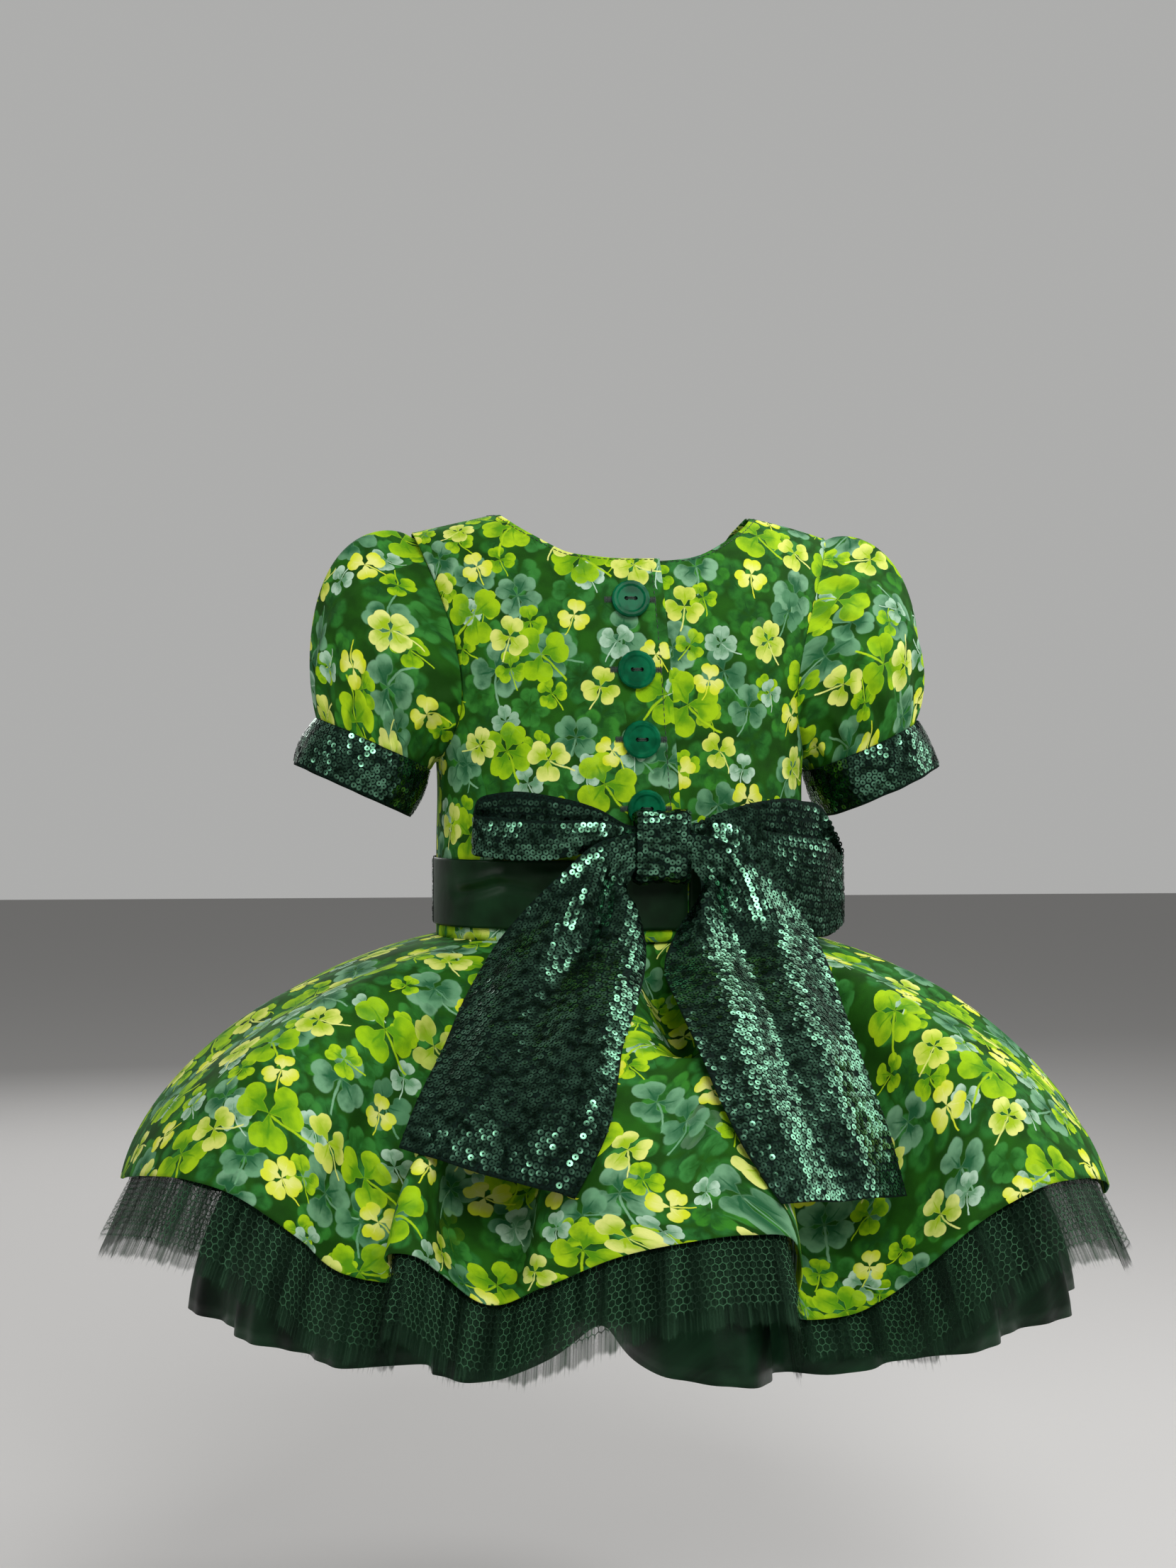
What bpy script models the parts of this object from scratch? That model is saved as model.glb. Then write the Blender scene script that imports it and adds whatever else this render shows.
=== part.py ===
"""A toddler's party dress as it is worn: a printed bodice that buttons down the back, short puffed
sleeves with cuffs, a sash with a large bow, a full circle skirt and a petticoat of two layers.

The back of the dress faces -Y and its left side -X. The origin lies between the shoulder seams,
where the wearer carries it. Sizes are in millimetres, and MM turns them into the mesh's metres.
"""

import math

import bmesh
import bpy
import numpy as np
from mathutils import Vector

MM = 0.001

# Cloth
WALL = 1.2
NET_WALL = 1.0
SEAM = 0.3
HALF_SEAM = 0.21
LAYER = 0.45

# Bodice: one row for each level, with its half width and its depth to the back and to the front
LEVELS = (
    # height, half width, back, front
    (-213.0, 95.0, 74.0, 80.0),
    (-170.0, 95.0, 74.0, 80.0),
    (-125.0, 95.0, 75.0, 81.0),
    (-100.0, 98.0, 76.0, 81.0),
    (-67.0, 104.0, 76.0, 80.0),
    (-38.0, 109.0, 75.0, 78.0),
    (-6.0, 112.0, 74.0, 76.0),
    (15.0, 112.0, 74.0, 76.0),
)
RING_POWER = 2.4
DOME_POWER = 2.6
DOME_FROM = -80.0
RIDGE = (
    # distance from the middle, height of the shoulder line
    (0.0, 12.0),
    (67.0, 4.0),
    (109.0, -6.0),
    (125.0, -10.0),
)
WAIST_HEIGHT = -213.0
UNDERARM_HEIGHT = -125.0
NECK_HALF_WIDTH = 67.0
SIDE_ROWS = 4
NECK_ROW = 8
PANEL_ROWS = 12
NECKLINE_BACK = (
    # distance from the middle, height
    (0.0, -25.0),
    (16.0, -24.5),
    (32.0, -21.5),
    (48.0, -12.5),
    (60.0, -3.5),
    (67.0, 4.0),
)
NECKLINE_FRONT = (
    (0.0, -46.0),
    (18.0, -44.5),
    (36.0, -37.0),
    (50.0, -25.0),
    (61.0, -9.0),
    (67.0, 4.0),
)
ARMHOLE_BACK = (
    # share of the way from the underarm to the shoulder, angle from the middle, height
    (0.0, 90.0, -125.0),
    (0.12, 74.0, -119.0),
    (0.25, 62.0, -107.0),
    (0.4, 56.0, -90.0),
    (0.55, 55.0, -70.0),
    (0.7, 57.5, -49.0),
    (0.85, 63.5, -27.0),
    (1.0, 73.3, -6.0),
)
ARMHOLE_FRONT = (
    (0.0, 90.0, -125.0),
    (0.12, 73.0, -119.0),
    (0.25, 59.0, -106.0),
    (0.4, 52.0, -89.0),
    (0.55, 50.0, -69.0),
    (0.7, 53.5, -48.0),
    (0.85, 61.5, -27.0),
    (1.0, 73.3, -6.0),
)
FRONT_COLUMNS = 9
BACK_LEFT_COLUMNS = 11
BACK_RIGHT_COLUMNS = 9

# Back opening: it leans a little to the right on its way down
OPENING_TOP = (-5.0, -39.0)
OPENING_LEAN = 0.075
OVERLAP = 17.0
UNDERLAP = 12.0
OVERLAP_LIFT = 2.3
LIFT_FROM = -38.0
LIFT_TO = -22.0

# Buttons
BUTTON_DIAMETER = 19.0
BUTTON_THICKNESS = 3.0
BUTTON_RIM = 2.2
BUTTON_DISH = 0.6
BUTTON_HOLE = 2.2
BUTTON_HOLE_SPACING = 4.4
BUTTON_SEGMENTS = 18
BUTTON_HEIGHTS = (-45.5, -79.5, -113.5, -147.5)

# Sash
SASH_TOP = -173.0
SASH_BOTTOM = -207.0
SASH_END_GAP = 1.5

# Sleeves and cuffs, given for the right arm
CUFF_TOP = (128.0, -2.0, -115.0)
ARM_TILT = 24.5
CUFF_ACROSS = 33.0
CUFF_DEEP = 37.0
CUFF_HEIGHT = 26.0
CUFF_BULGE = 0.8
CUFF_COLUMNS = 32
SLEEVE_PER_EDGE = 3
SLEEVE_ROWS = (0.0, 0.12, 0.38, 0.64, 0.87, 1.0)
# The sleeve's curve leaves the bodice at an angle and for a share of its chord, and comes down on
# the cuff for another share and with a lean to the outside. The second value is for the arm's top.
SLEEVE_LEAVES_AT = (75.0, -40.0)
SLEEVE_LEAVES_FOR = 0.34
SLEEVE_LANDS_FOR = 0.69
SLEEVE_LANDS_OUT = (0.38, 0.26)
GATHERS = 16
GATHER_DEPTH = 1.5
GATHER_REACH = 0.13
GATHERS_AT_HEAD = (0.6, 0.4)
GATHERS_FULL_FROM = 40.0

# Skirt: a full circle, with a row for each crest, slope and hollow of its hem
SKIRT_LENGTH = 208.0
SKIRT_DROP_FROM = WAIST_HEIGHT - SEAM
SKIRT_TUCK = 0.8
SKIRT_ROWS = (0.0, 0.12, 0.27, 0.43, 0.6, 0.76, 0.89, 1.0)
SKIRT_BEND = (0.43, 0.10, 0.105, 0.50)
HEM_BACK = (
    # angle from the middle of the back, distance of the hem from the axis
    (-90.0, 252.5),
    (-80.0, 256.0),
    (-70.0, 262.0),
    (-62.0, 265.0),
    (-55.0, 265.0),
    (-48.0, 259.0),
    (-42.0, 240.0),
    (-38.0, 222.0),
    (-33.0, 233.0),
    (-30.5, 234.5),
    (-28.0, 226.0),
    (-24.0, 207.0),
    (-17.0, 215.0),
    (-8.0, 228.5),
    (0.0, 234.0),
    (6.0, 236.0),
    (11.0, 234.0),
    (13.8, 221.0),
    (16.0, 204.0),
    (20.0, 191.0),
    (24.5, 189.0),
    (28.0, 203.0),
    (30.2, 223.0),
    (33.0, 242.0),
    (39.0, 256.0),
    (47.0, 260.0),
    (57.0, 257.0),
    (68.0, 248.0),
    (79.0, 247.0),
    (90.0, 243.0),
)
HEM_FRONT = (
    (90.0, 243.0),
    (99.0, 232.0),
    (108.0, 245.0),
    (118.0, 261.0),
    (127.0, 259.0),
    (136.0, 238.0),
    (144.0, 214.0),
    (153.0, 230.0),
    (162.0, 251.0),
    (171.0, 254.0),
    (180.0, 238.0),
    (188.0, 212.0),
    (196.0, 224.0),
    (206.0, 251.0),
    (216.0, 260.0),
    (227.0, 249.0),
    (236.0, 226.0),
    (247.0, 230.0),
    (258.0, 246.5),
    (270.0, 252.5),
)
COLUMNS_PER_FOLD_ROW = 2

# Petticoat: a net layer under the skirt, and a satin layer with a gathered hem under the net
NET_ROWS = (0.0, 0.13, 0.34, 0.64, 1.0)
NET_DROP = 2.5
NET_DROP_BY = 0.5
NET_EXTRA = 33.0
NET_LOWEST = -398.0
NET_LEAST_EXTRA = 10.0
NET_KICK = 0.2
RUFFLE_HEM = (
    # angle from the middle of the back, distance from the axis, height
    (-90.0, 222.0, -396.0),
    (-76.0, 224.0, -397.0),
    (-62.0, 216.0, -399.0),
    (-48.0, 214.0, -400.0),
    (-36.0, 205.0, -401.0),
    (-27.0, 197.0, -402.0),
    (-20.0, 196.0, -399.0),
    (-12.0, 199.0, -392.0),
    (-4.0, 202.0, -399.0),
    (4.0, 204.0, -401.0),
    (11.0, 200.0, -403.0),
    (18.0, 182.0, -407.0),
    (25.0, 175.0, -409.0),
    (32.0, 194.0, -405.0),
    (42.0, 214.0, -400.0),
    (56.0, 228.0, -397.0),
    (74.0, 241.0, -396.0),
    (92.0, 236.0, -397.0),
    (112.0, 228.0, -398.0),
    (130.0, 222.0, -400.0),
    (150.0, 208.0, -402.0),
    (168.0, 220.0, -400.0),
    (186.0, 204.0, -403.0),
    (204.0, 218.0, -400.0),
    (222.0, 222.0, -399.0),
    (240.0, 210.0, -400.0),
    (256.0, 216.0, -398.0),
)
RUFFLE_CLEARANCE = 10.0
RUFFLE_FOLDS = 20
RUFFLE_FOLD_DEPTH = 11.0
RUFFLE_HOLLOW = (-11.5, 7.0, 80.0)
FOLD_GROWTH = 1.6
COLUMNS_PER_RUFFLE = 5
RUFFLE_ROWS = (0.0, 0.22, 0.5, 0.78, 1.0)
RUFFLE_BEND = (0.36, 0.18, 0.06, 0.42)

# Bow: its knot, its loops as bands that run out and back, and its tails edge by edge
KNOT_MIDDLE = (9.0, -88.3, -166.0)
KNOT_SIZE = (26.0, 17.0, 36.0)
KNOT_WALL = 1.5
KNOT_COLUMNS = 20
KNOT_POWER = 5.0
KNOT_PINCH = (1.0, 0.94, 1.0)
KNOT_LEAN = 0.0935
LOOP_STATIONS = 22
LOOP_LEFT = (
    # across, depth to the back, lower edge, upper edge
    (3.0, 83.2, -169.0, -156.0),
    (-6.0, 83.2, -168.0, -155.5),
    (-20.0, 81.5, -167.0, -148.0),
    (-45.0, 75.5, -171.0, -141.0),
    (-66.0, 66.0, -172.0, -139.5),
    (-79.0, 58.0, -171.0, -144.0),
    (-81.0, 64.0, -170.0, -149.0),
    (-68.0, 77.0, -172.0, -151.5),
    (-45.0, 88.5, -172.0, -153.0),
    (-20.0, 91.0, -168.0, -153.5),
    (-6.0, 88.5, -169.0, -156.0),
    (3.0, 87.5, -169.0, -156.5),
)
LOOP_RIGHT = (
    (15.0, 83.2, -170.0, -156.0),
    (24.0, 83.2, -171.0, -155.5),
    (38.0, 81.5, -177.0, -150.0),
    (60.0, 74.5, -189.0, -144.0),
    (82.0, 62.5, -205.0, -143.5),
    (101.0, 50.5, -208.0, -154.0),
    (106.0, 56.0, -205.0, -169.0),
    (96.0, 69.0, -211.0, -164.0),
    (78.0, 80.5, -208.0, -161.0),
    (58.0, 89.5, -191.0, -158.0),
    (38.0, 93.0, -178.0, -155.0),
    (24.0, 89.5, -172.0, -156.0),
    (15.0, 87.5, -170.0, -156.5),
)
TAIL_LEFT = (
    # outer edge: across, depth, height; inner edge: across, depth, height
    (-0.5, 94.2, -158.0, -0.5, 93.6, -170.0),
    (-24.0, 98.0, -164.0, -9.0, 95.0, -187.0),
    (-42.0, 100.0, -179.0, -3.0, 105.0, -206.0),
    (-61.0, 98.0, -198.0, -5.0, 126.0, -222.0),
    (-77.0, 105.0, -217.0, -12.6, 154.0, -237.0),
    (-90.0, 123.0, -237.0, -21.5, 174.0, -253.0),
    (-103.0, 149.0, -259.0, -26.0, 189.0, -268.0),
    (-115.5, 170.0, -280.0, -33.0, 203.0, -289.0),
    (-122.5, 180.5, -295.5, -47.8, 211.0, -315.0),
)
TAIL_RIGHT = (
    (18.5, 94.2, -158.0, 18.5, 93.6, -169.0),
    (42.0, 97.5, -165.0, 27.0, 95.5, -185.0),
    (62.0, 97.0, -181.0, 15.0, 105.0, -203.0),
    (79.0, 99.0, -203.0, 4.5, 126.0, -221.5),
    (85.0, 125.0, -226.0, 6.0, 156.0, -236.0),
    (88.0, 153.5, -249.0, 11.0, 184.5, -254.0),
    (93.0, 169.0, -271.0, 16.5, 206.0, -273.0),
    (98.5, 180.0, -290.0, 25.0, 221.5, -293.0),
    (104.5, 190.5, -320.0, 39.0, 231.5, -315.0),
)
TAIL_PLEATS_LEFT = (
    # share of the width at the knot, share at the end, height at the knot, height at the end, width
    (0.34, 0.25, 5.0, 1.5, 0.13),
    (0.80, 0.72, 5.0, 2.5, 0.13),
)
TAIL_PLEATS_RIGHT = (
    (0.20, 0.35, 5.0, 2.5, 0.13),
    (0.72, 0.80, 5.0, 1.5, 0.13),
)
PLEATS_FROM = 0.08
PLEATS_GROW_OVER = 0.15
TAIL_COLUMNS = 10
TAIL_STEPS = 12

# Colours: base colour, roughness, metallic
PRINT_GREEN = ((0.135, 0.36, 0.06), 0.85, 0.0)
SEQUIN_GREEN = ((0.006, 0.045, 0.024), 0.35, 0.55)
SATIN_GREEN = ((0.004, 0.05, 0.02), 0.38, 0.0)
NET_GREEN = ((0.01, 0.07, 0.035), 0.9, 0.0)
BUTTON_GREEN = ((0.0, 0.12, 0.045), 0.28, 0.0)


def smooth(at, knots, values):
    """Cubic curve through the rows of a table, read at the places given."""
    at = np.asarray(at, float)
    knots = np.asarray(knots, float)
    values = np.asarray(values, float)
    slopes = np.gradient(values, knots, axis=0)
    row = np.clip(np.searchsorted(knots, at, side="right") - 1, 0, len(knots) - 2)
    step = knots[row + 1] - knots[row]
    s = (at - knots[row]) / step
    if values.ndim > 1:
        s = s[..., None]
        step = step[..., None]
    start = (2 * s ** 3 - 3 * s ** 2 + 1) * values[row]
    start_slope = (s ** 3 - 2 * s ** 2 + s) * step * slopes[row]
    end = (3 * s ** 2 - 2 * s ** 3) * values[row + 1]
    end_slope = (s ** 3 - s ** 2) * step * slopes[row + 1]
    return start + start_slope + end + end_slope


def unit(vectors):
    """The same vectors with a length of one."""
    return vectors / np.linalg.norm(vectors, axis=-1, keepdims=True)


def ease(share):
    """A share from 0 to 1 with soft ends."""
    share = np.clip(share, 0.0, 1.0)
    return share * share * (3.0 - 2.0 * share)


def bezier(p0, p1, p2, p3, t):
    """Cubic Bezier curve between p0 and p3, drawn towards p1 and p2."""
    return (1 - t) ** 3 * p0 + 3 * (1 - t) ** 2 * t * p1 + 3 * (1 - t) * t ** 2 * p2 + t ** 3 * p3


def grid_normals(grid, closed, outward):
    """Normals of a surface given as points by column and row, from its neighbours on both sides."""
    if closed:
        across = np.roll(grid, -1, axis=0) - np.roll(grid, 1, axis=0)
    else:
        across = np.gradient(grid, axis=0)
    along = np.gradient(grid, axis=1)
    return unit(np.cross(across, along)) * outward


def material(name, finish):
    """A plain finish from its colour, roughness and metallic value."""
    colour, roughness, metallic = finish
    made = bpy.data.materials.new(name)
    made.use_nodes = True
    shader = made.node_tree.nodes["Principled BSDF"]
    shader.inputs["Base Color"].default_value = (*colour, 1.0)
    shader.inputs["Roughness"].default_value = roughness
    shader.inputs["Metallic"].default_value = metallic
    return made


def add_object(name, mesh, finish):
    """Put a mesh in the scene under the name of its piece, shaded smooth."""
    mesh.shade_smooth()
    mesh.set_sharp_from_angle(angle=math.radians(45.0))
    piece = bpy.data.objects.new(name, mesh)
    mesh.materials.append(material(name, finish))
    bpy.context.collection.objects.link(piece)
    return piece


def cut_in_two(quads, points):
    """Triangles from quads, cut along the shorter diagonal, so that both faces of a wall agree."""
    corner = points[quads]
    first = np.linalg.norm(corner[:, 0] - corner[:, 2], axis=1)
    second = np.linalg.norm(corner[:, 1] - corner[:, 3], axis=1)
    turned = np.where((first <= second)[:, None], quads, np.roll(quads, -1, axis=1))
    return turned[:, [0, 1, 2, 0, 2, 3]].reshape(-1, 3).tolist()


def cloth(name, patches, finish, wall=WALL, closed=False, outward=1):
    """One piece of cloth: a closed wall behind an outer surface.

    Every patch is a pair of arrays by column and row, the outer points and their normals. Patches
    that share points are joined there. The inner points lie one wall behind the outer ones, and a
    strip closes the wall along every free edge.
    """
    points = np.concatenate([grid.reshape(-1, 3) for grid, normals in patches])
    normals = np.concatenate([normals.reshape(-1, 3) for grid, normals in patches])
    keys, first, where = np.unique(points.round(4), axis=0, return_index=True, return_inverse=True)
    where = where.ravel()
    inner_start = len(keys)

    faces = []
    start = 0
    for grid, _ in patches:
        columns, rows = grid.shape[:2]
        spans = columns if closed else columns - 1
        for i in range(spans):
            for j in range(rows - 1):
                here = start + i * rows + j
                beside = start + (i + 1) % columns * rows + j
                corners = [where[here], where[beside], where[beside + 1], where[here + 1]]
                faces.append(corners if outward > 0 else corners[::-1])
        start += columns * rows

    outer_points = points[first]
    inner_points = outer_points - wall * normals[first]
    faces = cut_in_two(np.array(faces), outer_points)
    edges = {(face[k], face[(k + 1) % 3]) for face in faces for k in range(3)}
    rims = [[b, a, a + inner_start, b + inner_start] for a, b in sorted(edges) if (b, a) not in edges]
    inner = [[corner + inner_start for corner in reversed(face)] for face in faces]
    mesh = bpy.data.meshes.new(name)
    mesh.from_pydata((np.concatenate([outer_points, inner_points]) * MM).tolist(), [],
                     faces + inner + rims)
    return add_object(name, mesh, finish)


def level_sizes(height):
    """Half width, back depth and front depth of the bodice at a height."""
    table = np.array(LEVELS)
    return np.moveaxis(smooth(height, table[:, 0], table[:, 1:]), -1, 0)


def torso(angle, height, face):
    """Outer surface of the bodice, at an angle from the middle of its back (face -1) or front (1).

    A level is a superellipse: across is half width * sin(angle) ** (2 / p), and the depth follows
    cos(angle) ** (2 / p). Above DOME_FROM the depth closes to the shoulder ridge the same way.
    """
    half_width, back, front = level_sizes(height)
    turn = np.radians(angle)
    sine, cosine = np.sin(turn), np.cos(turn)
    x = half_width * np.sign(sine) * np.abs(sine) ** (2 / RING_POWER)
    depth = np.where(face < 0, back, front) * np.sign(cosine) * np.abs(cosine) ** (2 / RING_POWER)
    ridge = np.interp(np.abs(x), *np.array(RIDGE).T)
    height = np.minimum(height, ridge)
    rise = np.clip((height - DOME_FROM) / (ridge - DOME_FROM), 0.0, 1.0)
    depth = depth * (1 - rise ** DOME_POWER) ** (1 / DOME_POWER)
    return np.stack([x, face * (depth + SEAM / 2), height], axis=-1)


def torso_normal(angle, height, face):
    """Outward normal of the bodice's surface, from its slopes across and up."""
    height = torso(angle, height, face)[..., 2]
    across = torso(angle + 0.5, height, face) - torso(angle - 0.5, height, face)
    up = torso(angle, height + 0.5, face) - torso(angle, height - 0.5, face)
    return unit(np.cross(across, up)) * -face


def angle_at(x, height):
    """Angle from the middle at which the bodice's surface lies at a distance across."""
    half_width = level_sizes(height)[0]
    share = np.clip(np.abs(x) / half_width, 0.0, 1.0)
    return np.sign(x) * np.degrees(np.arcsin(share ** (RING_POWER / 2)))


def opening_middle(height):
    """Distance across of the line of buttons at a height."""
    return OPENING_TOP[0] + OPENING_LEAN * (OPENING_TOP[1] - height)


def neck_edge(x, neckline):
    """Height of a neckline at a distance from the middle."""
    return smooth(np.abs(x), *np.array(neckline).T)


def inner_edge(row, side, start, neckline):
    """Angle and height along a panel's inner edge: up to the neckline, then along it to the shoulder.

    start gives the distance across of the edge at a height, for the part below the neckline.
    """
    first_x = start(neckline[0][1])
    top = neck_edge(first_x, neckline)
    up = np.clip(row / NECK_ROW, 0.0, 1.0)
    height = WAIST_HEIGHT + (top - WAIST_HEIGHT) * up
    x = start(height)
    along = np.clip((row - NECK_ROW) / (PANEL_ROWS - NECK_ROW), 0.0, 1.0)
    x = np.where(along > 0, first_x + (side * NECK_HALF_WIDTH - first_x) * along, x)
    height = np.where(along > 0, neck_edge(x, neckline), height)
    return angle_at(x, height), height


def outer_edge(row, side, armhole):
    """Angle and height along a panel's outer edge: up the side seam, then round the armhole."""
    table = np.array(armhole)
    up = np.clip(row / SIDE_ROWS, 0.0, 1.0)
    along = np.clip((row - SIDE_ROWS) / (PANEL_ROWS - SIDE_ROWS), 0.0, 1.0)
    angle, height = np.moveaxis(smooth(along, table[:, 0], table[:, 1:]), -1, 0)
    height = np.where(along > 0, height, WAIST_HEIGHT + (UNDERARM_HEIGHT - WAIST_HEIGHT) * up)
    return side * angle, height


def panel(columns, side, face, start, neckline, armhole):
    """Half of the bodice between its inner and outer edges, as points and normals."""
    share, row = np.meshgrid(np.linspace(0, 1, columns + 1), np.arange(PANEL_ROWS + 1.0), indexing="ij")
    inner_angle, inner_height = inner_edge(row, side, start, neckline)
    outer_angle, outer_height = outer_edge(row, side, armhole)
    angle = inner_angle + (outer_angle - inner_angle) * share
    height = inner_height + (outer_height - inner_height) * share
    return torso(angle, height, face), torso_normal(angle, height, face)


def lifted(points, normals):
    """The left back panel rises over the right one where they overlap."""
    rise = OVERLAP_LIFT * ease((points[..., 0] - LIFT_FROM) / (LIFT_TO - LIFT_FROM))
    return points + rise[..., None] * normals


def left_edge(height):
    """Free edge of the left back panel, past the buttons."""
    return opening_middle(height) + OVERLAP


def right_edge(height):
    """Hidden edge of the right back panel, under the left one."""
    return opening_middle(height) - UNDERLAP


def make_bodice():
    """Front panel in one piece, and two back panels of which the left lies on the right."""
    halves = [panel(FRONT_COLUMNS, side, 1, lambda height: 0 * height, NECKLINE_FRONT, ARMHOLE_FRONT)
              for side in (-1, 1)]
    left_half, right_half = halves
    left_half = (left_half[0][::-1], left_half[1][::-1])
    cloth("bodice_front", [left_half, right_half], PRINT_GREEN, outward=-1)

    points, normals = panel(BACK_LEFT_COLUMNS, -1, -1, left_edge, NECKLINE_BACK, ARMHOLE_BACK)
    cloth("bodice_back_left", [(lifted(points, normals), normals)], PRINT_GREEN, outward=-1)
    right = panel(BACK_RIGHT_COLUMNS, 1, -1, right_edge, NECKLINE_BACK, ARMHOLE_BACK)
    cloth("bodice_back_right", [right], PRINT_GREEN)


def sash_strip(angles, face, lift):
    """A strip of the sash, made from the bodice's points moved out by a wall and a gap."""
    angle, height = np.meshgrid(angles, np.linspace(SASH_BOTTOM, SASH_TOP, 3), indexing="ij")
    points = torso(angle, height, face)
    normals = torso_normal(angle, height, face)
    if lift:
        points = lifted(points, normals)
    return points + (LAYER + WALL) * normals, normals


def make_sash():
    """Front strip from side seam to side seam, and two back strips that end at the opening."""
    middle = (SASH_TOP + SASH_BOTTOM) / 2
    edge = float(angle_at(np.array(left_edge(middle)), middle))
    past_edge = float(angle_at(np.array(left_edge(middle) + SASH_END_GAP), middle))
    front = np.linspace(-90, 90, 2 * FRONT_COLUMNS + 1)
    cloth("sash_front", [sash_strip(front, 1, False)], SEQUIN_GREEN, outward=-1)
    left = np.linspace(edge, -90, BACK_LEFT_COLUMNS + 1)
    cloth("sash_back_left", [sash_strip(left, -1, True)], SATIN_GREEN, outward=-1)
    right = np.linspace(past_edge, 90, BACK_RIGHT_COLUMNS + 1)
    cloth("sash_back_right", [sash_strip(right, -1, False)], SATIN_GREEN)


def armhole_corners():
    """Corners of the right armhole from the shoulder round the back, with the bodice's normals."""
    rows = np.arange(SIDE_ROWS, PANEL_ROWS + 1.0)
    points = []
    normals = []
    for face, armhole, order in ((-1, ARMHOLE_BACK, -1), (1, ARMHOLE_FRONT, 1)):
        angle, height = outer_edge(rows, 1, armhole)
        points.append(torso(angle, height, face)[::order])
        normals.append(torso_normal(angle, height, face)[::order])
    shoulder = (points[0][0] + points[1][-1]) / 2
    underarm = (points[0][-1] + points[1][0]) / 2
    loop = np.concatenate([[shoulder], points[0][1:-1], [underarm], points[1][1:-1]])
    up = [normals[0][0] + normals[1][-1], normals[0][-1] + normals[1][0]]
    loop_normals = np.concatenate([[up[0]], normals[0][1:-1], [up[1]], normals[1][1:-1]])
    return loop, unit(loop_normals)


def between_corners(corners, per_edge):
    """A closed outline with several points on each of its straight edges."""
    share = np.arange(per_edge)[None, :, None] / per_edge
    ahead = np.roll(corners, -1, axis=0)
    return (corners[:, None] * (1 - share) + ahead[:, None] * share).reshape(-1, 3)


def cuff_ring(angle, down, across=CUFF_ACROSS, deep=CUFF_DEEP):
    """Points round the right arm: an ellipse square to the arm, a distance down from the cuff's top."""
    tilt = math.radians(ARM_TILT)
    sideways = np.array([math.cos(tilt), 0.0, math.sin(tilt)])
    downwards = np.array([math.sin(tilt), 0.0, -math.cos(tilt)])
    backwards = np.array([0.0, -1.0, 0.0])
    turn = np.radians(angle)[..., None]
    ring = across * np.cos(turn) * sideways + deep * np.sin(turn) * backwards
    return np.array(CUFF_TOP) + ring + np.asarray(down)[..., None] * downwards


def sleeve_surface():
    """Right sleeve: a Bezier curve from each armhole point to the cuff, with gathers at both ends.

    The curve leaves the bodice at 35 degrees over the shoulder and 115 degrees under the arm, and
    comes down on the cuff from outside. Gathers are a cosine round the arm that dies away from
    each end over GATHER_REACH of the length.
    """
    corners, corner_normals = armhole_corners()
    edge = between_corners(corners, SLEEVE_PER_EDGE)
    bodice_normal = unit(between_corners(corner_normals, SLEEVE_PER_EDGE))
    tangent = unit(np.roll(edge, -1, axis=0) - np.roll(edge, 1, axis=0))
    leaving = unit(np.cross(bodice_normal, tangent))
    count = len(edge)
    angle = np.arange(count) * 360.0 / count
    top = np.cos(np.radians(angle))[:, None]

    start = edge + LAYER * leaving
    end = cuff_ring(angle, -LAYER - 0 * angle, CUFF_ACROSS - SKIRT_TUCK, CUFF_DEEP - SKIRT_TUCK)
    chord = np.linalg.norm(end - start, axis=1, keepdims=True)
    lift = np.radians(SLEEVE_LEAVES_AT[0] + SLEEVE_LEAVES_AT[1] * top)
    first = start + SLEEVE_LEAVES_FOR * chord * (np.cos(lift) * leaving + np.sin(lift) * bodice_normal)
    middle = np.array(CUFF_TOP)
    arm = unit(cuff_ring(np.array([0.0]), np.array([0.0])) - cuff_ring(np.array([0.0]), np.array([1.0])))
    out = SLEEVE_LANDS_OUT[0] + SLEEVE_LANDS_OUT[1] * top
    last = end + SLEEVE_LANDS_FOR * chord * unit(arm + out * unit(end - middle))

    t = np.array(SLEEVE_ROWS)[None, :, None]
    grid = bezier(start[:, None], first[:, None], last[:, None], end[:, None], t)
    normals = grid_normals(grid, closed=True, outward=1)
    from_head = t / GATHER_REACH
    from_cuff = (1 - t) / GATHER_REACH
    depth = from_head * np.exp(1 - from_head) * (GATHERS_AT_HEAD[0] + GATHERS_AT_HEAD[1] * top[:, None])
    depth = depth + from_cuff * np.exp(1 - from_cuff)
    wave = np.cos(np.radians(angle) * GATHERS)[:, None, None]
    short = np.clip(chord / GATHERS_FULL_FROM, 0.0, 1.0)[:, None]
    grid = grid + GATHER_DEPTH * short * depth * wave * normals
    return grid, grid_normals(grid, closed=True, outward=1)


def cuff_surface():
    """Right cuff: a low barrel square to the arm."""
    angle, down = np.meshgrid(np.arange(CUFF_COLUMNS) * 360.0 / CUFF_COLUMNS,
                              np.linspace(0, CUFF_HEIGHT, 3), indexing="ij")
    bulge = CUFF_BULGE * np.sin(np.pi * down / CUFF_HEIGHT)[..., None]
    grid = cuff_ring(angle, down, CUFF_ACROSS + bulge, CUFF_DEEP + bulge)
    return grid, grid_normals(grid, closed=True, outward=1)


def mirrored(patch):
    """The same patch on the other side of the dress."""
    flip = np.array([-1.0, 1.0, 1.0])
    return patch[0] * flip, patch[1] * flip


def make_sleeves():
    """Sleeve and cuff of the right arm, and their mirror images."""
    for name, patch, finish in (("sleeve", sleeve_surface(), PRINT_GREEN),
                                ("cuff", cuff_surface(), SEQUIN_GREEN)):
        cloth(name + "_right", [patch], finish, closed=True)
        cloth(name + "_left", [mirrored(patch)], finish, closed=True, outward=-1)


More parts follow.
